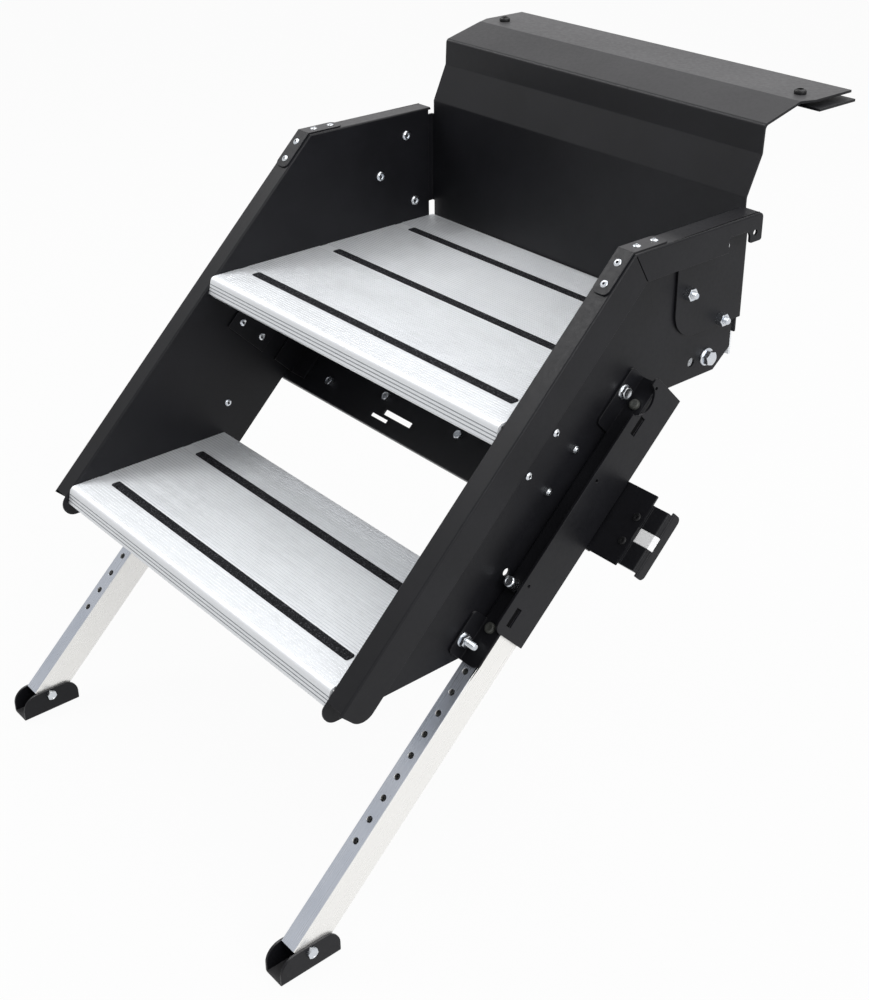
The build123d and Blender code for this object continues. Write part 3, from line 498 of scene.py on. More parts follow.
TREAD_METAL = DrawnMetal(
    Slot.TREAD_ALUMINIUM, (0.82, 0.84, 0.865), 0.48, 0.5, stain=(0.74, 0.755, 0.78)
)
# Painted light and shade on the legs: the darker blue-grey base stands for the shaded front,
# and the pale colour on the sides stands for the side light.
LEG_METAL = DrawnMetal(
    Slot.LEG_ALUMINIUM,
    (0.56, 0.59, 0.65),
    0.3,
    0.65,
    turn=-LEG_SLOPE,
    along=(900.0, 5.0, 900.0),
    stain=(0.34, 0.38, 0.46),
    flank=(0.88, 0.872, 0.85),
)
BLACK_MOULDING = Moulded(Slot.BLACK_HARDWARE, (0.009, 0.009, 0.01), 0.36, specular=0.3)
FINISHES: dict[Slot, Finish] = {
    finish.slot: finish
    for finish in (
        PowderCoat(Slot.POWDER_COAT, (0.0062, 0.0063, 0.0078), 0.4, specular=0.19),
        TREAD_METAL,
        LEG_METAL,
        ZincPlate(Slot.ZINC, (0.6, 0.63, 0.68), 0.22, 1.0),
        GritCoat(Slot.GRIP, (0.006, 0.0063, 0.0082), 0.75, specular=0.12),
        Moulded(Slot.BUFFER_RUBBER, (0.018, 0.018, 0.018), 0.7),
        BLACK_MOULDING,
        # Painted shade: the pale glide plugs are coloured near black, standing for the shade
        # inside the sleeve.
        Moulded(Slot.GLIDE_PLASTIC, (0.045, 0.047, 0.042), 0.55, shift=0.1),
        Moulded(Slot.TONGUE_NYLON, (0.88, 0.88, 0.89), 0.5, shift=0.06),
    )
}
# Painted shade in the treads' grooves: darker copies of the tread metal, slight on the top
# and strong on the nose.
TOP_GROOVE_SHADE = replace(
    TREAD_METAL,
    colour=(0.66, 0.675, 0.7),
    rough=0.5,
    stain=(0.55, 0.57, 0.6),
    title="top_groove",
)
NOSE_GROOVE_SHADE = replace(
    TREAD_METAL,
    colour=(0.27, 0.28, 0.3),
    rough=0.55,
    stain=(0.22, 0.23, 0.245),
    title="nose_groove",
)
# Painted shade: a near-black, barely glossy finish laid in hollows and on slot floors,
# standing for the shade in them.
RECESS_SHADE = replace(
    BLACK_MOULDING, colour=(0.004, 0.004, 0.0045), rough=0.8, specular=0.06, title="recess"
)


def linked(name: str, data: bpy.types.ID) -> Thing:
    """Makes an object of some data and puts it into the scene.

    Args:
        name: name of the object.
        data: its mesh, lamp or camera.

    Returns:
        The object.
    """
    made = bpy.data.objects.new(name, data)
    bpy.context.scene.collection.objects.link(made)
    return made


@dataclass(frozen=True)
class Softbox:
    """One square lamp, with its width in metres and its power in watts."""

    name: str
    place: Place
    target: Place
    size: float
    power: float
    diffuse: bool = True

    def hang(self) -> None:
        """Hangs the lamp and points it at its target."""
        data = bpy.data.lights.new(self.name, "AREA")
        data.size = self.size
        data.energy = self.power
        made = linked(self.name, data)
        made.location = self.place
        aim = Vector(self.target) - Vector(self.place)
        made.rotation_euler = aim.to_track_quat("-Z", "Y").to_euler()
        if not self.diffuse:
            made.visible_diffuse = False


@dataclass(frozen=True)
class Studio:
    """The camera at the photograph's place, the pale floor and the soft light."""

    camera_at: Place = (1.23595, -1.38040, 0.44655)
    azimuth: float = math.radians(49.18)
    elevation: float = math.radians(26.61)
    focal_pixels: float = 1511.88
    middle_pixel: Pair = (456.5, 408.1)
    picture: tuple[int, int] = (869, 1000)
    sensor: float = 36.0
    view_end: float = 60.0
    floor_half: float = 14.0
    floor_gap: float = 0.0004
    paper: Colour = (0.62, 0.62, 0.62)
    floor_white: float = 0.95
    sky: float = 0.52
    lamps: tuple[Softbox, ...] = (
        Softbox("key_softbox", (2.5, -1.3, 2.3), (0.0, -0.35, -0.35), 2.2, 34.0),
        Softbox("top_softbox", (0.2, 1.1, 2.4), (0.0, -0.3, -0.2), 2.6, 44.0),
        Softbox("side_softbox", (2.6, -0.2, 0.8), (0.2, -0.4, -0.4), 1.6, 30.0),
        Softbox("left_softbox", (-1.5, -0.95, 1.65), (0.0, -0.3, -0.1), 1.2, 21.0),
        Softbox("sheen_card", (-1.5, -0.95, 1.6), (0.0, -0.3, -0.1), 1.0, 10.0, False),
    )

    def build(self) -> None:
        """Sets up the camera, the floor, the world and the lamps."""
        bpy.context.scene.view_settings.view_transform = "Standard"
        self.camera()
        self.floor()
        self.world()
        for lamp in self.lamps:
            lamp.hang()

    def camera(self) -> None:
        """Places the camera."""
        flat = math.cos(self.elevation)
        across, ahead = math.sin(self.azimuth), -math.cos(self.azimuth)
        back = Vector((across * flat, ahead * flat, math.sin(self.elevation)))
        data = bpy.data.cameras.new("photo_camera")
        long_side = max(self.picture)
        data.sensor_width = self.sensor
        data.lens = self.sensor * self.focal_pixels / long_side
        data.shift_x = (self.picture[0] / 2 - self.middle_pixel[0]) / long_side
        data.shift_y = (self.middle_pixel[1] - self.picture[1] / 2) / long_side
        data.clip_end = self.view_end
        made = linked("photo_camera", data)
        made.location = self.camera_at
        made.rotation_euler = (-back).to_track_quat("-Z", "Y").to_euler()
        bpy.context.scene.camera = made

    def floor(self) -> None:
        """Lays the pale floor just under the feet."""
        level, half = CAD_BOX[0][2] - self.floor_gap, self.floor_half
        corners = [(-half, -half), (half, -half), (half, half), (-half, half)]
        mesh = bpy.data.meshes.new("studio_floor")
        mesh.from_pydata([(x, y, level) for x, y in corners], [], [(0, 1, 2, 3)])
        made = linked("studio_floor", mesh)
        material = bpy.data.materials.new("floor_paper")
        material.use_nodes = True
        material.node_tree.nodes.clear()
        paint = Paint(material.node_tree)
        paper = paint.add("ShaderNodeBsdfDiffuse", {"Color": (*self.paper, 1.0)})
        white = paint.add("ShaderNodeEmission", {"Strength": 1.0})
        share = paint.math("MULTIPLY", self.seen(paint), self.floor_white)
        feeds = {0: share, 1: paper.outputs[0], 2: white.outputs[0]}
        mixed = paint.add("ShaderNodeMixShader", feeds)
        paint.add("ShaderNodeOutputMaterial", {"Surface": mixed.outputs[0]})
        mesh.materials.append(material)

    def seen(self, paint: Paint) -> Socket:
        """Gives 1 where the camera, a mirror or glass looks, and 0 for light itself.

        Args:
            paint: the bench of the floor or the world.

        Returns:
            The socket of that share.
        """
        path = paint.add("ShaderNodeLightPath").outputs
        either = paint.math("MAXIMUM", path["Is Camera Ray"], path["Is Glossy Ray"])
        return paint.math("MAXIMUM", either, path["Is Transmission Ray"])

    def world(self) -> None:
        """Makes a white surround that lights the step at a plain level."""
        made = bpy.data.worlds.new("studio_surround")
        bpy.context.scene.world = made
        made.use_nodes = True
        made.node_tree.nodes.clear()
        paint = Paint(made.node_tree)
        share = paint.math("MULTIPLY_ADD", self.seen(paint), 1.0 - self.sky, self.sky)
        ground = paint.add("ShaderNodeBackground", {"Strength": share})
        paint.add("ShaderNodeOutputWorld", {"Surface": ground.outputs[0]})


def merged(nodes: Sequence[str]) -> Shape:
    """Copies the meshes of CAD nodes into one merged mesh.

    Args:
        nodes: names of the nodes.

    Returns:
        The merged copy, with level faces joined.
    """
    shape = bmesh.new()
    for node in nodes:
        shape.from_mesh(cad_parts[node].data)
    bmesh.ops.remove_doubles(shape, verts=shape.verts, dist=2e-6)
    bmesh.ops.dissolve_limit(
        shape, angle_limit=math.radians(0.4), verts=shape.verts, edges=shape.edges
    )
    return shape


def solids(node: str) -> list[np.ndarray]:
    """Splits a CAD node into its separate solids.

    Args:
        node: name of the node.

    Returns:
        The corner points of each solid.
    """
    shape = merged([node])
    left = dict.fromkeys(shape.verts)
    found = []
    while left:
        start = next(iter(left))
        del left[start]
        group, edge = [start], [start]
        while edge:
            corner = edge.pop()
            for link in corner.link_edges:
                other = link.other_vert(corner)
                if other in left:
                    del left[other]
                    group.append(other)
                    edge.append(other)
        found.append(np.array([tuple(v.co) for v in group]))
    shape.free()
    return found


def poured(shape: Shape, name: str) -> Mesh:
    """Turns a shape into a mesh and frees the shape.

    Args:
        shape: the shape.
        name: name of the mesh.

    Returns:
        The mesh.
    """
    mesh = bpy.data.meshes.new(name)
    shape.to_mesh(mesh)
    shape.free()
    return mesh


def coat(mesh: Mesh, *finishes: Finish) -> None:
    """Gives a mesh its finishes; one without any keeps its faces' indices.

    Args:
        mesh: the mesh.
        *finishes: the finishes, in the order of the indices.
    """
    if mesh.materials:
        mesh.materials.clear()
    for finish in finishes:
        mesh.materials.append(finish.material())


def plain(name: str, mesh: Mesh, smooth: float) -> Thing:
    """Makes a piece at the origin from a finished mesh.

    Args:
        name: name of the piece.
        mesh: its mesh, with its place in its points.
        smooth: angle in degrees above which an edge stays sharp.

    Returns:
        The piece.
    """
    mesh.name = name
    mesh.polygons.foreach_set("use_smooth", [True] * len(mesh.polygons))
    mesh.set_sharp_from_angle(angle=math.radians(smooth))
    return linked(name, mesh)


def settled(carrier: Thing) -> Mesh:
    """Evaluates an object's modifiers and takes the object away.

    Args:
        carrier: the object with its modifiers.

    Returns:
        The finished mesh.
    """
    bpy.context.view_layer.update()
    seen = carrier.evaluated_get(bpy.context.evaluated_depsgraph_get())
    mesh = bpy.data.meshes.new_from_object(seen)
    carrier.modifiers.clear()
    bpy.data.objects.remove(carrier)
    return mesh


def modified(mesh: Mesh, kind: str, **settings: object) -> Mesh:
    """Runs one modifier over a mesh.

    Args:
        mesh: the mesh.
        kind: Blender's name of the modifier type.
        **settings: properties to set on it.

    Returns:
        The finished mesh.
    """
    carrier = linked("blank", mesh)
    modifier = carrier.modifiers.new(kind.lower(), kind)
    for name, value in settings.items():
        setattr(modifier, name, value)
    return settled(carrier)


def hand_over(piece: Thing, body: str, nodes: Sequence[str] = ()) -> None:
    """Ties a piece to its body, hides the CAD nodes that it stands for, and reports it.

    Args:
        piece: the piece.
        body: name of the body that it rides on.
        nodes: names of the CAD nodes that it stands for.
    """
    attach(piece, body)
    if nodes:
        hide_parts(*nodes)
    LOG.info("%s rides on %s: %d faces", piece.name, body, len(piece.data.polygons))


@dataclass
class SheetPiece:
    """A folded, pressed or extruded piece with eased edges and rounded bends."""

    name: str
    nodes: tuple[str, ...]
    slot: Slot
    body: str = "step"
    ease: float = 0.45 * MM
    bend: float = 2.4 * MM
    wall: float = 4.2 * MM
    steps: int = 3
    sunk: float = 0.0
    groove: float = 0.0
    groove_length: float = 0.1
    band: float = 0.0
    least_angle: float = math.radians(24)
    level_gap: float = 0.002 * MM
    level_turn: float = 0.9999
    fold_area: float = 0.5 * MM * MM

    def build(self) -> None:
        """Builds the piece from its nodes, rounds it and hands it over."""
        shape = merged(self.nodes)
        self.weigh(shape)
        mesh = poured(shape, self.name)
        mesh.polygons.foreach_set("use_smooth", [True] * len(mesh.polygons))
        mesh = modified(
            mesh,
            "BEVEL",
            limit_method="WEIGHT",
            width=self.bend,
            segments=self.steps,
            use_clamp_overlap=False,
            miter_outer="MITER_ARC",
        )
        self.level(mesh)
        mesh = modified(mesh, "WEIGHTED_NORMAL", keep_sharp=True, weight=80)
        self.dress(mesh)
        mesh.name = self.name
        hand_over(linked(self.name, mesh), self.body, self.nodes)

    def level(self, mesh: Mesh) -> None:
        """Refills the flat faces that the rounding left with a fold in them.

        Args:
            mesh: the rounded mesh.
        """
        mesh.calc_loop_triangles()
        filled = np.zeros(len(mesh.polygons))
        for triangle in mesh.loop_triangles:
            filled[triangle.polygon_index] += triangle.area
        folded = [f.index for f in mesh.polygons if filled[f.index] > f.area + self.fold_area]
        shape = bmesh.new()
        shape.from_mesh(mesh)
        shape.faces.ensure_lookup_table()
        for face in [shape.faces[index] for index in folded]:
            if face.is_valid:
                self.refill(shape, face)
        shape.to_mesh(mesh)
        shape.free()

    def region(self, face: bmesh.types.BMFace) -> dict[bmesh.types.BMFace, bool]:
        """Finds the flat region round a face.

        Args:
            face: one face of the region.

        Returns:
            Its faces, in the order of the search.
        """
        normal, origin = face.normal.copy(), face.verts[0].co.copy()
        region, found = {face: True}, [face]
        while found:
            near = [link for edge in found.pop().edges for link in edge.link_faces]
            for other in near:
                away = abs((other.calc_center_median() - origin).dot(normal))
                level = away < self.level_gap and other.normal.dot(normal) > self.level_turn
                if other not in region and level:
                    region[other] = True
                    found.append(other)
        return region

    def refill(self, shape: Shape, face: bmesh.types.BMFace) -> None:
        """Fills one flat region anew, from its outline and its holes.

        Args:
            shape: the rounded piece.
            face: one face of the region.
        """
        normal, origin = face.normal.copy(), face.verts[0].co.copy()
        region = self.region(face)
        rim = [
            edge
            for member in region
            for edge in member.edges
            if sum(link in region for link in edge.link_faces) == 1
        ]
        corners = list(dict.fromkeys(corner for edge in rim for corner in edge.verts))
        turn = normal.rotation_difference(UPWARDS)
        flat = [(turn @ corner.co).xy for corner in corners]
        order = {corner: index for index, corner in enumerate(corners)}
        lines = [(order[edge.verts[0]], order[edge.verts[1]]) for edge in rim]
        spots, _, trios, sources, _, _ = delaunay_2d_cdt(flat, lines, [], 0, 1e-9)
        bmesh.ops.delete(shape, geom=list(region), context="FACES_KEEP_BOUNDARY")
        back, lift = turn.inverted(), normal * (turn @ origin).z
        points = [
            corners[source[0]] if source else shape.verts.new(back @ spot.to_3d() + lift)
            for spot, source in zip(spots, sources)
        ]
        ends = [(flat[start], flat[end]) for start, end in lines]
        for trio in trios:
            middle = sum((spots[index] for index in trio), Vector((0.0, 0.0))) / 3
            if self.within(middle, ends):
                shape.faces.new([points[index] for index in trio]).smooth = True

    def within(self, spot: Vector, ends: Sequence[tuple[Vector, Vector]]) -> bool:
        """Says whether a spot lies inside an outline and outside its holes.

        Args:
            spot: the spot.
            ends: both ends of each line of the outline and the holes.

        Returns:
            True where a ray from the spot crosses an odd number of lines.
        """
        crossed = 0
        for start, end in ends:
            if (start.y > spot.y) != (end.y > spot.y):
                share = (spot.y - start.y) / (end.y - start.y)
                crossed += start.x + share * (end.x - start.x) > spot.x
        return crossed % 2 == 1

    def weigh(self, shape: Shape) -> None:
        """Marks how far each edge is rounded.

        Args:
            shape: the merged copy of the nodes.
        """
        floats = shape.edges.layers.float
        layer = floats.get("bevel_weight_edge") or floats.new("bevel_weight_edge")
        span = {face: self.breadth(face) for face in shape.faces}
        for edge in shape.edges:
            if len(edge.link_faces) != 2 or edge.calc_face_angle(0.0) < self.least_angle:
                continue
            folded = min(span[face] for face in edge.link_faces) > self.wall
            straight = edge.calc_length() > 6 * self.wall
            outer = edge.is_convex and folded and straight
            edge[layer] = 1.0 if outer else self.ease / self.bend

    def breadth(self, face: bmesh.types.BMFace) -> float:
        """Gives the rough breadth of a face: its area over half its outline."""
        around = sum(edge.calc_length() for edge in face.edges)
        return 2.0 * face.calc_area() / max(around, 1e-9)

    def narrow(self, mesh: Mesh, face: bpy.types.MeshPolygon) -> bool:
        """Says whether a face belongs to one of the long narrow grooves.

        Args:
            mesh: the finished mesh.
            face: the face.

        Returns:
            True for a groove's face.
        """
        across = [mesh.vertices[index].co.x for index in face.vertices]
        length = max(across) - min(across)
        return length > self.groove_length and face.area / length < self.groove

    def dress(self, mesh: Mesh) -> None:
        """Gives the mesh its finish, and painted shade to the floors of its slots and to its
        grooves.

        Args:
            mesh: the finished mesh.
        """
        coat(mesh, FINISHES[self.slot])
        # Painted shade: the floors of a sleeve's slots take the near-black finish.
        if self.sunk:
            mesh.materials.append(RECESS_SHADE.material())
            for face in mesh.polygons:
                level = abs(abs(face.center.x) - self.sunk) < 0.05 * MM
                face.material_index = int(level and abs(face.normal.x) > 0.9)
        # Painted shade: the grooves take the darker copies of the tread metal.
        if self.groove:
            mesh.materials.append(TOP_GROOVE_SHADE.material())
            mesh.materials.append(NOSE_GROOVE_SHADE.material())
            front = min(corner.co.y for corner in mesh.vertices) + self.band
            nose = max(corner.co.z for corner in mesh.vertices) - 1.0 * MM
            for face in mesh.polygons:
                if not self.narrow(mesh, face):
                    continue
                if face.center.y > front:
                    face.material_index = 1
                elif face.center.z < nose:
                    face.material_index = 2


@dataclass
class RingStack:
    """A turned or hexagonal form in millimetres, built ring by ring along its axis."""

    count: int = 36
    rings: list[list[Pair]] = field(default_factory=list)
    mouth: int = 0

    def sink(self) -> None:
        """Marks that what follows lies in a hollow, whose faces get painted shade."""
        self.mouth = len(self.rings)

    def top(self) -> float:
        """Gives the height of the last ring."""
        return self.rings[-1][0][1]

    def round(self, *circles: Pair) -> "RingStack":
        """Adds circles, each a radius and a height."""
        self.rings += [[circle] * self.count for circle in circles]
        return self

    def hexagon(self, flats: float, height: float, cut: float = 0.0) -> None:
        """Adds a hexagon, with its corners lowered by a chamfer.

        Args:
            flats: width across its flats.
            height: height of its flats' middles.
            cut: slope of the chamfer, 0 for none.
        """
        ring = []
        for index in range(self.count):
            turn = (2 * math.pi * index / self.count) % (math.pi / 3) - math.pi / 6
            radius = flats / 2 / math.cos(turn)
            ring.append((radius, height - cut * (radius - flats / 2)))
        self.rings.append(ring)

    def dome(self, radius: float, low: float, high: float, until: float) -> None:
        """Adds a crown of circles.

        Args:
            radius: radius at its foot.
            low: height of its foot.
            high: height of its top, on the axis.
            until: radius at which it stops.
        """
        end = math.acos(min(until / radius, 1.0))
        for step in range(1, 6):
            turn = end * step / 5
            self.round((radius * math.cos(turn), low + (high - low) * math.sin(turn)))

    def thread(self, radius: float, high: float, pitch: float) -> None:
        """Adds the ridges of a screw thread, from 0 up.

        Args:
            radius: radius over the ridges.
            high: where it ends.
            pitch: distance from ridge to ridge.
        """
        height, core = 0.0, radius - 0.55 * pitch
        while height + pitch < high:
            ridge = (radius, height + 0.45 * pitch), (radius, height + 0.6 * pitch)
            self.round((core, height), *ridge)
            height += pitch
        self.round((core, height))

    def mesh(self, name: str) -> Mesh:
        """Skins the rings and closes both ends.

        Args:
            name: name of the mesh.

        Returns:
            The closed mesh.
        """
        shape = bmesh.new()
        # Faces in the hollows are flagged for painted shade.
        dark = shape.faces.layers.int.new("recess")
        turns = [2 * math.pi * index / self.count for index in range(self.count)]
        rows = []
        for ring in self.rings:
            spots = [(r * math.cos(t), r * math.sin(t), h) for t, (r, h) in zip(turns, ring)]
            rows.append([shape.verts.new([MM * part for part in spot]) for spot in spots])
        for step, (low, high) in enumerate(zip(rows, rows[1:])):
            for index in range(self.count):
                after = (index + 1) % self.count
                face = shape.faces.new((low[index], low[after], high[after], high[index]))
                face[dark] = int(0 < self.mouth <= step)
        shape.faces.new(list(reversed(rows[0])))
        shape.faces.new(rows[-1])[dark] = int(self.mouth > 0)
        bmesh.ops.recalc_face_normals(shape, faces=shape.faces)
        return poured(shape, name)


@dataclass(frozen=True)
class Fitting:
    """The visible end of a fastener in millimetres, measured from its seat."""

    head: Head
    width: float
    height: float
    flange: float = 0.0
    flange_thick: float = 0.0
    bore: float = 0.0
    shank: float = 0.0
    below: float = 3.0

    def mesh(self) -> Mesh:
        """Builds the end with its axis along Z and its seat at 0.

        Returns:
            The mesh.
        """
        stack = RingStack()
        if self.shank:
            stack.round((self.shank, -self.below), (self.shank, 0.0))
        makers = {
            Head.HEX: self.hexagon,
            Head.NUT: self.hexagon,
            Head.BUTTON: self.button,
            Head.PAN: self.button,
            Head.RIVET: self.rivet,
            Head.STUD: self.stud,
            Head.PLUG: self.plug,
        }
        makers[self.head](stack, self.width / 2, self.height)
        return stack.mesh(self.head.name.lower() + "_pattern")

    def hexagon(self, stack: RingStack, half: float, high: float) -> None:
        """Adds a chamfered hexagon on its flange, with a bore in a nut.

        Args:
            stack: the rings so far.
            half: half of the width.
            high: the height.
        """
        edge, foot, rim = self.flange, self.flange_thick, 0.965 * half
        if edge:
            stack.round((edge - 0.2, 0.0), (edge, 0.25 * foot), (edge - 0.3, 0.6 * foot))
            stack.round((1.17 * half, foot))
        stack.hexagon(self.width, foot, 0.0 if edge else -0.3)
        stack.hexagon(self.width, high - 0.12, 0.55)
        stack.round((rim, high))
        if self.head is Head.NUT:
            stack.round((self.bore + 0.45, high), (self.bore, high - 0.5))
            stack.round((self.bore, 0.4 * high))
        else:
            stack.round((0.82 * rim, high), (0.74 * rim, high - 0.3))

    def button(self, stack: RingStack, radius: float, high: float) -> None:
        """Adds a low crown with a hexagon socket.

        Args:
            stack: the rings so far.
            radius: half of the width.
            high: the height.
        """
        mouth = 0.5 * radius
        foot = high * (0.16 if self.head is Head.BUTTON else 0.5)
        stack.round((radius - 0.15, 0.0), (radius, 0.3 * foot), (radius, foot))
        stack.dome(radius, foot, high, 1.28 * mouth)
        stack.hexagon(2 * mouth, stack.top())
        stack.hexagon(2 * mouth - 0.2, 0.42 * high)
        stack.sink()
        stack.round((0.3 * mouth, 0.3 * high))

    def rivet(self, stack: RingStack, radius: float, high: float) -> None:
        """Adds a smooth dome with the dimple of its mandrel.

        Args:
            stack: the rings so far.
            radius: half of the width.
            high: the height.
        """
        stack.round((radius - 0.12, 0.0), (radius, 0.22 * high))
        stack.dome(radius, 0.22 * high, high, 0.42 * radius)
        stack.round((0.34 * radius, stack.top() - 0.25)).sink()
        stack.round((0.32 * radius, 0.2 * high), (0.2 * radius, 0.3 * high))

    def stud(self, stack: RingStack, radius: float, high: float) -> None:
        """Adds a threaded end with a chamfered tip.

        Args:
            stack: the rings so far.
            radius: half of the width.
            high: the height.
        """
        tip, pitch = 0.8, 1.1
        stack.thread(radius, high - tip, pitch)
        stack.round((radius - 0.2, high - tip), (radius - tip, high))

    def plug(self, stack: RingStack, radius: float, high: float) -> None:
        """Adds a smooth plug with a rounded rim and a shallow dish.

        Args:
            stack: the rings so far.
            radius: half of the width.
            high: the height.
        """
        stack.round((radius, 0.0), (radius, 0.5 * high))
        stack.dome(radius, 0.5 * high, high, 0.72 * radius)
        top = stack.top()
        stack.round((0.55 * radius, top), (0.4 * radius, top - 0.35))


@dataclass
class RepeatTree(Bench):
    """A Geometry Nodes tree that copies a form, makes the copies real and coats them."""

    given: bpy.types.bpy_prop_collection | None = None

    @classmethod
    def start(cls, name: str, inputs: dict[str, str]) -> "RepeatTree":
        """Starts a tree.

        Args:
            name: name of the tree.
            inputs: names and kinds of its inputs.

        Returns:
            The bench of the new tree.
        """
        tree = bpy.data.node_groups.new(name, "GeometryNodeTree")
        tree.is_modifier = True
        for title, kind in {**inputs, "Finish": "Material"}.items():
            tree.interface.new_socket(
                title, in_out="INPUT", socket_type="NodeSocket" + kind
            )
        tree.interface.new_socket(
            "Copies", in_out="OUTPUT", socket_type="NodeSocketGeometry"
        )
        bench = cls(tree)
        bench.given = bench.add("NodeGroupInput").outputs
        return bench

    def chance(self, kind: str, low: object, high: object) -> Socket:
        """Adds a random value from the tree's seed.

        Args:
            kind: VALUE or VECTOR.
            low: smallest value.
            high: largest value, or its socket.

        Returns:
            The socket of the value.
        """
        data_type = "FLOAT" if kind == "VALUE" else "FLOAT_VECTOR"
        node = self.add(
            "FunctionNodeRandomValue", {"Seed": self.given["Seed"]}, data_type=data_type
        )
        ends = [s for s in node.inputs if s.type == kind]
        self.feed(ends[0], low)
        self.feed(ends[1], high)
        return next(s for s in node.outputs if s.type == kind and s.enabled)

    def close(self, copies: Socket) -> bpy.types.NodeTree:
        """Makes the copies real, coats them and ends the tree.

        Args:
            copies: the copies as instances.

        Returns:
            The finished tree.
        """
        real = self.add("GeometryNodeRealizeInstances", {"Geometry": copies}).outputs[0]
        feeds = {"Geometry": real, "Material": self.given["Finish"]}
        coated = self.add("GeometryNodeSetMaterial", feeds).outputs["Geometry"]
        self.add("NodeGroupOutput", {"Copies": coated})
        return self.tree


def repeated(
    bed: Mesh, name: str, make: Callable[[str], bpy.types.NodeTree], values: dict[str, object]
) -> Mesh:
    """Runs a Geometry Nodes tree, with inputs set by their identifiers.

    Args:
        bed: the mesh that it starts from.
        name: name of the tree.
        make: builds the tree at its first use.
        values: input names and their values.

    Returns:
        The mesh of all copies.
    """
    tree = bpy.data.node_groups.get(name) or make(name)
    carrier = linked(bed.name, bed)
    modifier = carrier.modifiers.new(name, "NODES")
    modifier.node_group = tree
    for item in tree.interface.items_tree:
        if item.item_type == "SOCKET" and item.name in values:
            modifier[item.identifier] = values[item.name]
    return settled(carrier)


@dataclass(frozen=True)
class Fit:
    """One end of the solids in a fastener node."""

    fitting: Fitting
    inwards: bool = False
    rank: int | None = None
    extra: tuple[Place, ...] = ()


@dataclass
class FastenerRow:
    """All fasteners of one CAD node, set out by Geometry Nodes."""

    node: str
    fits: tuple[Fit, ...]
    line: Line = Line.ACROSS
    slot: Slot = Slot.ZINC
    body: str = "step"
    turn: float = math.pi
    seed: int = 7
    smooth: float = 33.0

    def build(self) -> None:
        """Builds the row as one piece."""
        whole = bmesh.new()
        for fit in self.fits:
            mesh = self.set_out(fit)
            whole.from_mesh(mesh)
            bpy.data.meshes.remove(mesh)
        # Faces flagged in the hollows take the near-black painted shade.
        dark = whole.faces.layers.int.get("recess")
        for face in whole.faces:
            face.material_index = face[dark]
        mesh = poured(whole, self.node)
        coat(mesh, FINISHES[self.slot], RECESS_SHADE)
        piece = plain(self.node + "_set", mesh, self.smooth)
        hand_over(piece, self.body, [self.node])

    def set_out(self, fit: Fit) -> Mesh:
        """Puts one fitting at its end of every solid.

        Args:
            fit: which fitting, and at which end.

        Returns:
            The mesh of all copies.
        """
        pattern = linked("fastener_pattern", fit.fitting.mesh())
        seats, aims = self.seats(fit)
        mesh = bpy.data.meshes.new("fastener_seats")
        mesh.from_pydata([tuple(seat) for seat in seats], [], [])
        held = mesh.attributes.new("aim", "FLOAT_VECTOR", "POINT")
        held.data.foreach_set("vector", [part for aim in aims for part in aim])
        values = {
            "Pattern": pattern,
            "Largest Turn": self.turn,
            "Seed": self.seed,
            "Finish": FINISHES[self.slot].material(),
        }
        made = repeated(mesh, "set_fasteners", self.tree, values)
        bpy.data.objects.remove(pattern)
        return made

    def seats(self, fit: Fit) -> tuple[list[Vector], list[Vector]]:
        """Finds the seats of one end.

        Args:
            fit: which end.

        Returns:
            The seat points and their outward directions.
        """
        seats, aims = [], []
        groups = sorted(solids(self.node), key=lambda group: -group[:, 2].mean())
        for index, group in enumerate(groups):
            if fit.rank is not None and index * 2 // len(groups) != fit.rank:
                continue
            aim = -self.aim(group) if fit.inwards else self.aim(group)
            reach = float((group @ np.array(aim)).max()) - fit.fitting.height * MM
            middle = Vector((group.min(0) + group.max(0)) / 2)
            seats.append(middle + aim * (reach - middle.dot(aim)))
            aims.append(aim)
        for place in fit.extra:
            seats.append(Vector(place))
            aims.append(Vector((-math.copysign(1.0, place[0]), 0.0, 0.0)))
        return seats, aims

    def aim(self, group: np.ndarray) -> Vector:
        """Gives the outward direction of one solid.

        Args:
            group: its corner points.

        Returns:
            The direction.
        """
        ways = {
            Line.ACROSS: [Vector((math.copysign(1.0, group[:, 0].mean()), 0.0, 0.0))],
            Line.STAIR: [STAIR_BACK],
            Line.LEG: [-LEG_BACK],
            Line.UP: [UPWARDS],
            Line.GUSSET: [UPWARDS, -STAIR_BACK],
        }
        return min(ways[self.line], key=lambda way: float(np.ptp(group @ np.array(way))))

    def tree(self, name: str) -> bpy.types.NodeTree:
        """Builds the tree that sets the pattern on the seats, each along its aim.

        Args:
            name: name of the tree.

        Returns:
            The tree.
        """
        inputs = {"Seats": "Geometry", "Pattern": "Object", "Largest Turn": "Float"}
        bench = RepeatTree.start(name, {**inputs, "Seed": "Int"})
        given = bench.given
        aim = bench.add(
            "GeometryNodeInputNamedAttribute", {"Name": "aim"}, data_type="FLOAT_VECTOR"
        )
        feeds = {"Vector": aim.outputs["Attribute"]}
        align = bench.add("FunctionNodeAlignRotationToVector", feeds, axis="Z")
        angle = bench.chance("VALUE", 0.0, given["Largest Turn"])
        feeds = {"Axis": tuple(UPWARDS), "Angle": angle}
        spin = bench.add("FunctionNodeAxisAngleToRotation", feeds)
        feeds = {"Rotation": align.outputs[0], "Rotate By": spin.outputs[0]}
        turned = bench.add("FunctionNodeRotateRotation", feeds, rotation_space="LOCAL")
        pattern = bench.add("GeometryNodeObjectInfo", {"Object": given["Pattern"]})
        feeds = {
            "Points": given["Seats"],
            "Instance": pattern.outputs["Geometry"],
            "Rotation": turned.outputs["Rotation"],
        }
        return bench.close(bench.add("GeometryNodeInstanceOnPoints", feeds).outputs[0])


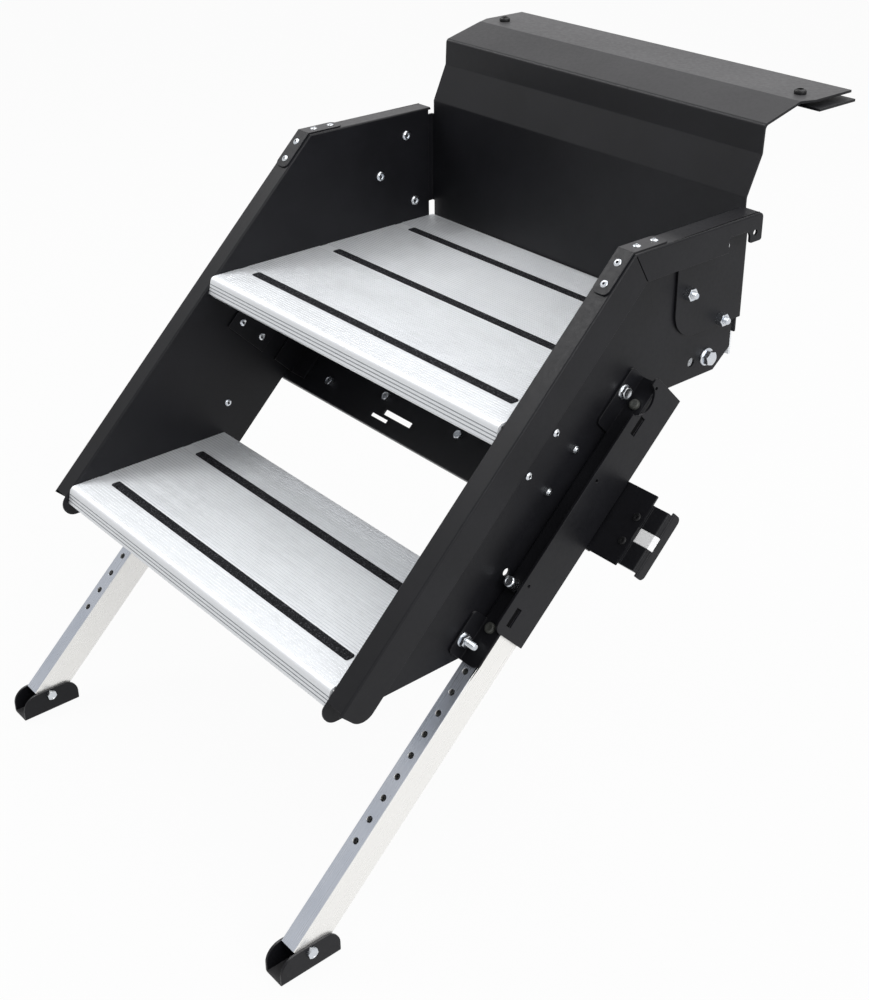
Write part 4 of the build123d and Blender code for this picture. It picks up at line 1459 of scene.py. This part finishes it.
@dataclass
class GripStrips:
    """The gritty strips let into one tread: backing and loose-looking grains."""

    node: str
    density: float = 620000.0
    grain: float = 0.34 * MM
    smallest: Place = (0.55, 0.55, 0.45)
    largest: Place = (1.25, 1.25, 1.0)
    seed: int = 11

    def build(self) -> None:
        """Builds the backing, and scatters the grains over its top."""
        name, eased = self.node + "_backing", {"ease": 0.2 * MM, "bend": 0.25 * MM}
        SheetPiece(name, (self.node,), Slot.GRIP, **eased).build()
        shape = merged([self.node])
        walls = [face for face in shape.faces if face.normal.z < 0.9]
        bmesh.ops.delete(shape, geom=walls, context="FACES")
        bmesh.ops.triangulate(shape, faces=shape.faces)
        values = {
            "Density": self.density,
            "Grain": self.grain,
            "Seed": self.seed,
            "Finish": FINISHES[Slot.GRIP].material(),
        }
        made = repeated(poured(shape, "grit_bed"), "scatter_grit", self.tree, values)
        coat(made, FINISHES[Slot.GRIP])
        hand_over(plain(self.node + "_grit", made, 10.0), "step")

    def tree(self, name: str) -> bpy.types.NodeTree:
        """Builds the scattering tree.

        Args:
            name: name of the tree.

        Returns:
            The tree.
        """
        inputs = {"Bed": "Geometry", "Density": "Float", "Grain": "Float", "Seed": "Int"}
        bench = RepeatTree.start(name, inputs)
        given = bench.given
        feeds = {"Mesh": given["Bed"], "Density": given["Density"], "Seed": given["Seed"]}
        points = bench.add("GeometryNodeDistributePointsOnFaces", feeds)
        feeds = {"Segments": 4, "Rings": 2, "Radius": given["Grain"]}
        grain = bench.add("GeometryNodeMeshUVSphere", feeds)
        feeds = {
            "Points": points.outputs["Points"],
            "Instance": grain.outputs["Mesh"],
            "Rotation": bench.chance("VECTOR", (0.0, 0.0, 0.0), (6.28, 6.28, 6.28)),
            "Scale": bench.chance("VECTOR", self.smallest, self.largest),
        }
        return bench.close(bench.add("GeometryNodeInstanceOnPoints", feeds).outputs[0])


@dataclass
class SnapPin:
    """A sprung locking pin with a knurled pull knob, in millimetres."""

    side: str
    knob: float = 6.2
    knob_length: float = 12.0
    pin: float = 3.2
    ridges: int = 30
    ridge_width: float = 0.8
    smooth: float = 33.0

    def build(self) -> None:
        """Builds the pin in its bush."""
        node = "snap_pin_" + self.side
        group = solids(node)[0]
        aim = -LEG_BACK
        reach = group @ np.array(aim)
        middle = Vector((group.min(0) + group.max(0)) / 2)
        root = middle + aim * (float(reach.min()) - middle.dot(aim))
        end = float(np.ptp(reach)) / MM
        foot, pin, knob, core = end - self.knob_length, self.pin, self.knob, self.knob - 0.5
        stack = RingStack().round((pin - 0.4, 0.0), (pin, 0.5), (pin, foot))
        stack.round((core - 0.3, foot), (core, foot + 0.5), (core, end - 2.6))
        stack.round((knob, end - 2.4), (knob, end - 1.0), (knob - 0.9, end))
        stack.round((knob - 2.2, end), (knob - 2.8, end - 0.4))
        whole = bmesh.new()
        whole.from_mesh(stack.mesh("pin_blank"))
        whole.from_mesh(self.knurl(core, foot + 0.8, end - 3.0))
        mesh = poured(whole, node)
        turn = aim.to_track_quat("Z", "X").to_matrix().to_4x4()
        mesh.transform(Matrix.Translation(root) @ turn)
        coat(mesh, FINISHES[Slot.ZINC])
        piece = plain("pull_pin_" + self.side, mesh, self.smooth)
        hand_over(piece, "pin_" + self.side, [node])

    def knurl(self, core: float, low: float, high: float) -> Mesh:
        """Sets the knob's ridges round its core with Geometry Nodes.

        Args:
            core: radius of the core.
            low: where they start along the knob.
            high: where they end.

        Returns:
            The mesh of ridges.
        """
        mesh = bpy.data.meshes.new("knurl_axis")
        mesh.from_pydata([(0.0, 0.0, 0.0)], [], [])
        values = {
            "Ridges": self.ridges,
            "Radius": core * MM,
            "Ridge Width": self.ridge_width * MM,
            "Ridge Length": (high - low) * MM,
            "Middle": (low + high) / 2 * MM,
            "Finish": FINISHES[Slot.ZINC].material(),
        }
        return repeated(mesh, "knurl_ring", self.tree, values)

    def tree(self, name: str) -> bpy.types.NodeTree:
        """Builds the knurling tree.

        Args:
            name: name of the tree.

        Returns:
            The tree.
        """
        lengths = ("Radius", "Ridge Width", "Ridge Length", "Middle")
        inputs = {"Axis": "Geometry", "Ridges": "Int", **dict.fromkeys(lengths, "Float")}
        bench = RepeatTree.start(name, inputs)
        given = bench.given
        feeds = {"Vertices": given["Ridges"], "Radius": given["Radius"]}
        circle = bench.add("GeometryNodeMeshCircle", feeds)
        half = bench.math("MULTIPLY", given["Ridge Width"], 0.62)
        feeds = {"Vertices": 4, "Radius": half, "Depth": given["Ridge Length"]}
        ridge = bench.add("GeometryNodeMeshCylinder", feeds)
        spot = bench.add("GeometryNodeInputPosition")
        feeds = {"Vector": spot.outputs["Position"]}
        align = bench.add(
            "FunctionNodeAlignRotationToVector", feeds, axis="X", pivot_axis="Z"
        )
        feeds = {
            "Points": circle.outputs["Mesh"],
            "Instance": ridge.outputs["Mesh"],
            "Rotation": align.outputs["Rotation"],
        }
        copies = bench.add("GeometryNodeInstanceOnPoints", feeds)
        shift = bench.add("ShaderNodeCombineXYZ", {"Z": given["Middle"]})
        feeds = {"Geometry": copies.outputs[0], "Translation": shift.outputs["Vector"]}
        return bench.close(bench.add("GeometryNodeTransform", feeds).outputs["Geometry"])


@dataclass
class SheetWork:
    """All folded sheets, treads, tubes and flat bars of the step."""

    pressed: tuple[str, ...] = ("threshold_riser", "latch_panel")
    paired: tuple[str, ...] = (
        "side_panel",
        "corner_gusset",
        "upper_bracket",
        "lower_bracket",
        "latch_bracket",
        "latch_guide",
        "leg_sleeve",
    )
    slot_floor: float = 290.4 * MM

    def build(self) -> None:
        """Builds every piece."""
        for node in self.pressed:
            self.sheet(node)
        for side in SIDES:
            for stem in self.paired:
                self.sheet(f"{stem}_{side}")
            self.leg(side)
        self.tread("upper")
        self.tread("lower")
        SheetPiece(
            "floor_plate_sheet", ("floor_hinge_plate",), Slot.POWDER_COAT, "floor_mount"
        ).build()

    def sheet(self, node: str) -> None:
        """Builds one powder-coated sheet; the floors of a sleeve's slots get painted shade.
        """
        sunk = self.slot_floor if node.startswith("leg_sleeve") else 0.0
        SheetPiece(node + "_sheet", (node,), Slot.POWDER_COAT, sunk=sunk).build()

    def leg(self, side: str) -> None:
        """Builds one leg with its foot and latch tongue.

        Args:
            side: left or right.
        """
        SheetPiece(
            f"leg_{side}_tube",
            (f"leg_tube_{side}",),
            Slot.LEG_ALUMINIUM,
            f"leg_{side}",
            ease=0.3 * MM,
            bend=1.3 * MM,
            wall=2.5 * MM,
        ).build()
        SheetPiece(
            f"foot_{side}_channel", (f"foot_{side}",), Slot.POWDER_COAT, f"foot_pad_{side}"
        ).build()
        SheetPiece(
            f"tongue_{side}_bar",
            (f"latch_tongue_{side}",),
            Slot.TONGUE_NYLON,
            f"tongue_{side}",
            ease=0.4 * MM,
            bend=0.8 * MM,
        ).build()

    def tread(self, name: str) -> None:
        """Builds one ribbed tread."""
        SheetPiece(
            f"{name}_tread_extrusion",
            (f"{name}_tread",),
            Slot.TREAD_ALUMINIUM,
            ease=0.14 * MM,
            bend=0.6 * MM,
            wall=6.0 * MM,
            steps=2,
            groove=0.8 * MM,
            band=44.0 * MM,
        ).build()


@dataclass
class Hardware:
    """Every bolt, nut, rivet, screw and plug of the step, in millimetres."""

    ear_nut: Fitting = Fitting(Head.NUT, 13.0, 8.0, bore=4.0)
    ear_stud: Fitting = Fitting(Head.STUD, 8.0, 13.0)
    ear_button: Fitting = Fitting(Head.BUTTON, 13.2, 3.6, shank=4.0)
    corner_bolt: Fitting = Fitting(Head.HEX, 15.0, 8.7, 10.5, 2.2)
    corner_nut: Fitting = Fitting(Head.NUT, 15.0, 6.5, bore=5.0)
    corner_stud: Fitting = Fitting(Head.STUD, 10.0, 9.5)
    bracket_button: Fitting = Fitting(Head.BUTTON, 9.5, 2.75, shank=2.5)
    bracket_nut: Fitting = Fitting(Head.NUT, 8.0, 4.5, bore=2.5)
    bracket_stud: Fitting = Fitting(Head.STUD, 5.0, 6.0)
    bracket_dome: Fitting = Fitting(Head.RIVET, 9.5, 2.75, shank=2.5)
    gusset_dome: Fitting = Fitting(Head.RIVET, 8.8, 1.8, shank=2.2)
    latch_hex: Fitting = Fitting(Head.HEX, 10.0, 5.0, shank=3.0)
    latch_nut: Fitting = Fitting(Head.NUT, 10.0, 5.0, bore=3.0)
    guide_pan: Fitting = Fitting(Head.PAN, 9.2, 2.2, shank=2.5)
    sleeve_hex: Fitting = Fitting(Head.HEX, 13.0, 6.0, 8.4, 1.8)
    sleeve_nut: Fitting = Fitting(Head.NUT, 13.0, 6.5, 8.4, 1.8, 4.0)
    sleeve_stud: Fitting = Fitting(Head.STUD, 8.0, 18.5)
    buffer_pan: Fitting = Fitting(Head.PAN, 14.0, 6.0, shank=3.0)
    glide_plug: Fitting = Fitting(Head.PLUG, 12.0, 5.0)
    foot_hex: Fitting = Fitting(Head.HEX, 11.0, 5.0, shank=4.0, below=26.0)
    left_web_rivet: Place = (-0.261, -0.4724, -0.4104)

    def rows(self) -> list[FastenerRow]:
        """Lists the rows of fasteners.

        Returns:
            One row for each fastener node.
        """
        dome, black = self.bracket_dome, Slot.BLACK_HARDWARE
        inner_domes = Fit(dome, True, extra=(self.left_web_rivet,))
        sleeve = Fit(self.sleeve_hex, rank=0), Fit(self.sleeve_stud, rank=1)
        corner = Fit(self.corner_bolt), Fit(self.corner_stud, True)
        bracket = Fit(self.bracket_button, True), Fit(self.bracket_stud)
        foot = Fit(self.foot_hex), Fit(self.foot_hex, True)
        return [
            FastenerRow("ear_bolts", (Fit(self.ear_button, True), Fit(self.ear_stud))),
            FastenerRow("ear_nuts", (Fit(self.ear_nut),), seed=3),
            FastenerRow("flange_bolts", corner),
            FastenerRow("flange_nuts", (Fit(self.corner_nut, True),)),
            FastenerRow("bracket_bolts", bracket),
            FastenerRow("bracket_nuts", (Fit(self.bracket_nut),)),
            FastenerRow("bracket_rivets", (inner_domes, Fit(dome))),
            FastenerRow("gusset_rivets", (Fit(self.gusset_dome),), Line.GUSSET),
            FastenerRow("latch_bolts", (Fit(self.latch_hex, True),), Line.STAIR),
            FastenerRow("latch_nuts", (Fit(self.latch_nut),), Line.STAIR),
            FastenerRow("guide_screws", (Fit(self.guide_pan, True),), Line.STAIR, black),
            FastenerRow("sleeve_bolts", sleeve),
            FastenerRow("sleeve_nuts", (Fit(self.sleeve_nut),), seed=5),
            FastenerRow("buffer_bolts", (Fit(self.buffer_pan),), Line.UP, black),
            FastenerRow(
                "glide_buttons", (Fit(self.glide_plug),), Line.LEG, Slot.GLIDE_PLASTIC
            ),
        ] + [
            FastenerRow(f"foot_bolt_{side}", foot, body=f"foot_pad_{side}") for side in SIDES
        ]

    def build(self) -> None:
        """Builds every row."""
        for row in self.rows():
            row.build()


@dataclass
class BarePieces:
    """CAD nodes that stay in view and only get their finish."""

    hinge_pins: Slot = Slot.ZINC
    rubber_buffers: Slot = Slot.BUFFER_RUBBER

    def dress(self) -> None:
        """Gives each node its finish."""
        for name, slot in vars(self).items():
            coat(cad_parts[name].data, FINISHES[slot])
            LOG.info("%s keeps its shape, in %s", name, slot.value)


def main() -> None:
    """Builds the studio and every part of the step, in order."""
    logging.basicConfig(level=logging.INFO, format="%(message)s")
    Studio().build()
    SheetWork().build()
    Hardware().build()
    for node in ("upper_grip_strips", "lower_grip_strips"):
        GripStrips(node).build()
    for side in SIDES:
        SnapPin(side).build()
    BarePieces().dress()


if __name__ == "__main__":
    main()
